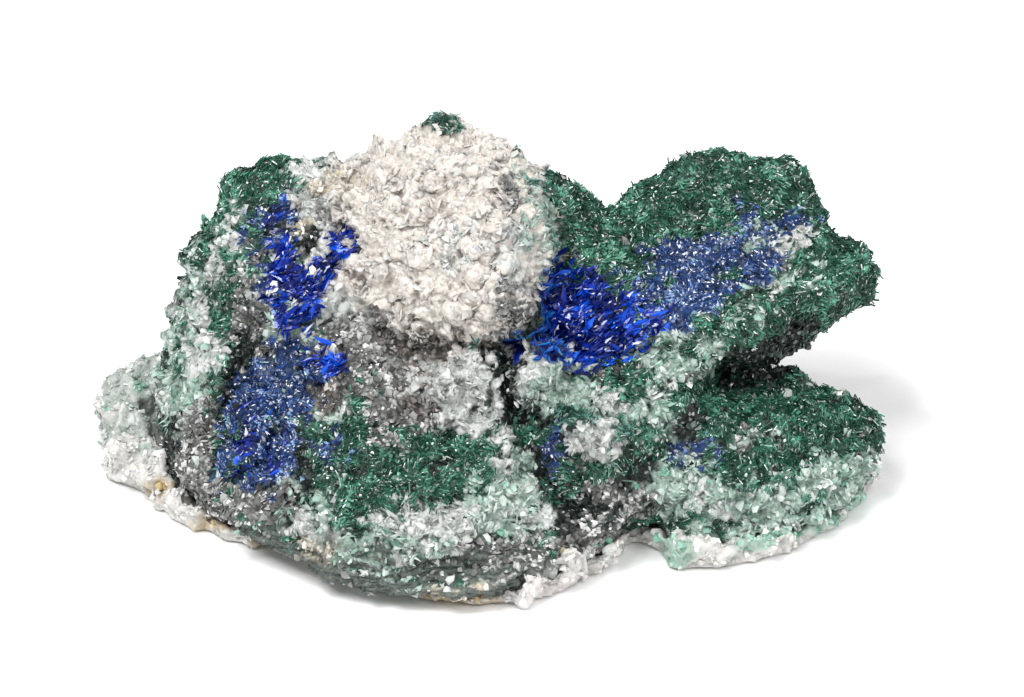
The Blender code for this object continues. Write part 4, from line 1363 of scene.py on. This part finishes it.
@dataclass
class HostRock:
    """The rock and the crust of small crystals that covers it."""

    bed_top: float = 3.8
    bed_step: float = 0.7
    bed_edge: float = 0.15
    bed_middle: float = -8.0
    bed_reach: float = 10.0
    crusts: tuple[Crust, ...] = (
        Crust("green_flakes", [Mineral.GREEN], [CrystalShape.FLAKE], GREEN_FINISH, "green_needles"),
        Crust("green_needles", [Mineral.GREEN], [CrystalShape.NEEDLE], GREEN_FINISH, "green_needles"),
        Crust("pale_crust", [Mineral.PALE], SHAPES, PALE_FINISH, "white_plates"),
        Crust("grey_crust", [Mineral.GREY, Mineral.BROWN, Mineral.BARE_AND_SHADE], SHAPES, GREY_FINISH, "rock"),
        Crust("blue_crust", [Mineral.DUST, Mineral.BLUE], SHAPES, BLUE_FINISH, "linarite"),
        Crust(
            "white_crust", [Mineral.WHITE, Mineral.CREAM, Mineral.TAN], SHAPES, SUGAR_FINISH, "white_crystal"
        ),
    )

    def bedding(self, points: Array, normals: Array) -> Array:
        """Says how far the level beds show: on steep sides near the foot."""
        steep = smooth_step(0.95, 0.7, np.abs(normals[:, 2]))
        height = points[:, 2] + 1.6 * noise_at(points, 0.4, 3.0)
        low = smooth_step(self.bed_top + 1.0, self.bed_top - 1.0, height)
        inside = smooth_step(self.bed_reach + 3.0, self.bed_reach, np.abs(points[:, 0] - self.bed_middle))
        return steep * low * np.where(points[:, 1] < 0.0, inside, 1.0)

    def relief(self, points: Array, normals: Array) -> Array:
        """Gives the height of the crust's lumps and clumps, and of the bed edges at the foot."""
        bedded = self.bedding(points, normals)
        height = points[:, 2] + 0.8 * noise_at(points, 0.25, 9.0)
        beds = self.bed_edge * np.sign(np.sin(height * math.tau / self.bed_step))
        return crust_relief(points, normals) * (1.0 - 0.6 * bedded) + beds * bedded

    def thinning(self, points: Array, normals: Array) -> Array:
        """Leaves fewer crystals behind and on the beds."""
        return fewer_behind(points, normals) * (1.0 - 0.93 * self.bedding(points, normals))

    def skin(self) -> Surface:
        """Builds the rock's skin."""
        skin = Skin("host_rock", "rock_skin", "rock", 0.31, 4, self.relief).build()
        paint_ground(skin, CRUST_MAP, CRUST_GROUND)
        surface = Surface(skin)
        write_attribute(skin.data, "bedded", self.bedding(surface.points, surface.normals))
        skin.data.materials.append(RockFinish().material())
        return surface

    def grow(self, forge: CrystalForge, surface: Surface, air: OpenAir) -> None:
        """Grows the rock's crust on its skin."""
        chance = np.random.default_rng(20)
        seeding = Seeding.of(surface, air, chance, self.thinning)
        for crust in self.crusts:
            crop = CrystalCrop(forge, chance)
            seeding.grow(crop, crust.minerals, crust.shapes)
            crop.piece(crust.name, crust.finish, crust.slot)


@dataclass
class QuartzBase:
    """The milky quartz under the rock."""

    growths: tuple[Growth, ...] = (
        Growth(CrystalShape.GRAIN, 0.8, 0.34, 0.30, 0.26, (20, 80)),
        Growth(CrystalShape.FLAKE, 2.6, 0.46, 0.36, 0.12, (60, 88), 0.4, 0.4),
    )

    @staticmethod
    def relief(points: Array, normals: Array) -> Array:
        """Gives the height of blunt lumps, none on the underside."""
        lumps = 0.4 * noise_at(points, 0.45, 4.0) + 1.1 * np.abs(noise_at(points, 0.6, 8.0)) - 0.35
        fine = 0.3 * np.abs(noise_at(points, 1.7, 12.0)) + 0.35 * leaf_height(points, 0.3)
        return (lumps + fine) * smooth_step(-0.95, -0.5, normals[:, 2])

    def skin(self) -> Surface:
        """Builds the quartz's skin."""
        skin = Skin("quartz_base", "quartz_skin", "quartz", 0.33, 3, self.relief).build()
        paint_ground(skin, QUARTZ_MAP, {tint: palette.ground() for tint, palette in QUARTZ_PALETTES.items()})
        skin.data.materials.append(QuartzFinish().material())
        return Surface(skin)

    def grow(self, forge: CrystalForge, surface: Surface, air: OpenAir) -> None:
        """Grows the broken grains on the quartz's skin."""
        crop = CrystalCrop(forge, np.random.default_rng(30))
        for growth in self.growths:
            points, normals = surface.scatter(growth.per_square_mm, crop.chance)
            kept = (normals[:, 2] > -0.5) & (points[:, 2] > 0.25) & air.open(points, normals)
            points, normals = points[kept], normals[kept]
            shares = QUARTZ_MAP.shares(points, normals)
            tints = np.argmax([shares[tint] for tint in QUARTZ_PALETTES], axis=0)
            for number, palette in enumerate(QUARTZ_PALETTES.values()):
                chosen = tints == number
                crop.grow(growth, palette, points[chosen], normals[chosen])
        crop.piece("quartz_grains", QUARTZ_GRAIN_FINISH, "quartz")


@dataclass
class Cluster:
    """A node that stands on the rock: its skin, and its crystals as one piece."""

    node: str
    slot: str
    seed: int
    finish: CrystalFinish
    voxel: float = 0.26
    relief: OverSurface = cluster_relief
    ground: RockFinish = RockFinish()

    def skin(self) -> Surface:
        """Builds the node's skin."""
        skin = Skin(self.node, f"{self.node}_skin", self.slot, self.voxel, 5, self.relief).build()
        paint_ground(skin, CRUST_MAP, CRUST_GROUND)
        skin.data.materials.append(self.ground.material())
        return Surface(skin)

    def grow(self, forge: CrystalForge, surface: Surface, air: OpenAir) -> None:
        """Grows the crystals on the node's skin."""
        crop = CrystalCrop(forge, np.random.default_rng(self.seed))
        Seeding.of(surface, air, crop.chance, fewer_behind).grow(crop, list(GROWTHS), SHAPES)
        crop.piece(f"{self.node}_crystals", self.finish, self.slot)


def mound_relief(points: Array, normals: Array) -> Array:
    """Gives the height of the mound's bulges, and of the leaves that cover them."""
    bulges = 0.7 * noise_at(points, 0.33, 6.0) + 0.3 * clump_height(points)
    warped = points + 0.5 * np.stack([noise_at(points, 0.8, shift) for shift in (61.0, 67.0, 71.0)], axis=1)
    plates = plate_height(warped, 0.6, 0.3) + plate_height(warped, 1.15, 0.4)
    plates = plates + plate_height(points, 1.9, 0.45)
    return bulges + plates + 0.15 * leaf_height(points, 0.3) + 0.1


SUGAR_GROUND = RockFinish("sugar_skin", 3.0, 0.6, 0.8, 0.62)
CLUSTERS = [
    Cluster("white_mound", "white_crystal", 50, SUGAR_FINISH, 0.18, mound_relief, SUGAR_GROUND),
    Cluster("linarite_centre", "linarite", 51, BLUE_FINISH),
    Cluster("linarite_upper_left", "linarite", 52, BLUE_FINISH),
    Cluster("linarite_middle", "linarite", 53, BLUE_FINISH),
    Cluster("linarite_lower_left", "linarite", 54, BLUE_FINISH),
    Cluster("white_tuft_centre", "white_plates", 55, SUGAR_FINISH),
    Cluster("white_tuft_right", "white_plates", 56, SUGAR_FINISH),
    Cluster("white_tuft_lower_right", "white_plates", 57, SUGAR_FINISH),
    Cluster("white_tuft_lower", "white_plates", 58, SUGAR_FINISH),
    Cluster("green_knob", "green_needles", 59, GREEN_FINISH),
]


@dataclass(frozen=True)
class Lamp:
    """A square lamp that faces the specimen; place and size are metres, power is watts."""

    place: tuple[float, float, float]
    size: float
    power: float

    def build(self) -> None:
        """Adds the lamp."""
        bpy.ops.object.light_add(type="AREA", location=self.place)
        lamp = bpy.context.object
        lamp.data.size = self.size
        lamp.data.energy = self.power
        lamp.rotation_euler = (-Vector(self.place)).to_track_quat("-Z", "Y").to_euler()


@dataclass
class Studio:
    """The pale floor, soft light and the camera at the photograph's angle."""

    main: Lamp = Lamp((-0.35, -0.30, 0.80), 0.45, 7.0)
    fill: Lamp = Lamp((0.5, -0.45, 0.55), 0.35, 2.4)
    sparkles: int = 9
    sparkle_height: float = 0.62
    picture_width_px: float = 1024.0
    px_a_mm: float = 13.4
    middle_across_px: float = 489.0
    middle_up_px: float = 360.0
    picture_middle_px: tuple[float, float] = (512.0, 348.5)
    elevation: float = 30.0
    lens: float = 500.0
    sensor: float = 36.0
    world: float = 0.42

    def camera(self) -> None:
        """Places a long-lens camera that looks down at the crystal face."""
        rise = math.radians(self.elevation)
        back = Vector((0.0, -math.cos(rise), math.sin(rise)))
        up = Vector((0.0, math.sin(rise), math.cos(rise)))
        shift_across = (self.picture_middle_px[0] - self.middle_across_px) / self.px_a_mm
        shift_up = (self.middle_up_px - self.picture_middle_px[1]) / self.px_a_mm
        aim = Vector((shift_across, 0.0, FACE.height)) + up * shift_up
        distance = self.picture_width_px / self.px_a_mm / self.sensor * self.lens
        bpy.ops.object.camera_add(location=(aim + back * distance) * MM)
        camera = bpy.context.object
        camera.rotation_euler = (-back).to_track_quat("-Z", "Y").to_euler()
        camera.data.lens = self.lens
        camera.data.sensor_width = self.sensor
        camera.data.clip_end = 20.0
        bpy.context.scene.camera = camera

    def floor(self) -> None:
        """Lays the pale floor."""
        bpy.ops.mesh.primitive_plane_add(size=6.0, location=(0.0, 0.0, -0.0002))
        floor = bpy.context.object
        floor.name = "floor"
        shader = Shader("floor")
        colour = shader.mix(shader.noise(0.004, 2.0) * 0.03, (0.95, 0.95, 0.95), (0.90, 0.90, 0.90))
        floor.data.materials.append(shader.finish(colour, 0.9, None))

    def light(self) -> None:
        """Adds the soft lamps, and the small ones that the crystals sparkle in."""
        self.main.build()
        self.fill.build()
        for number in range(self.sparkles):
            turn = math.tau * number / self.sparkles + 0.3
            reach = 0.30 + 0.22 * (number % 3)
            place = (reach * math.cos(turn), -0.25 + reach * math.sin(turn), self.sparkle_height)
            Lamp(place, 0.03, 0.35).build()

    def build(self) -> None:
        """Builds the stage."""
        scene = bpy.context.scene
        scene.view_settings.view_transform = "Standard"
        world = bpy.data.worlds.new("studio")
        scene.world = world
        world.use_nodes = True
        world.node_tree.nodes["Background"].inputs["Color"].default_value = (1.0, 1.0, 1.0, 1.0)
        world.node_tree.nodes["Background"].inputs["Strength"].default_value = self.world
        self.floor()
        self.light()
        self.camera()


def main() -> None:
    """Builds the specimen's looks and its stage."""
    logging.basicConfig(level=logging.INFO, format="%(message)s")
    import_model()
    forge = CrystalForge()
    layers = [HostRock(), QuartzBase(), *CLUSTERS]
    skins = [layer.skin() for layer in layers]
    air = OpenAir(skins)
    for layer, surface in zip(layers, skins):
        layer.grow(forge, surface, air)
    Studio().build()
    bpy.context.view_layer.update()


if __name__ == "__main__":
    main()
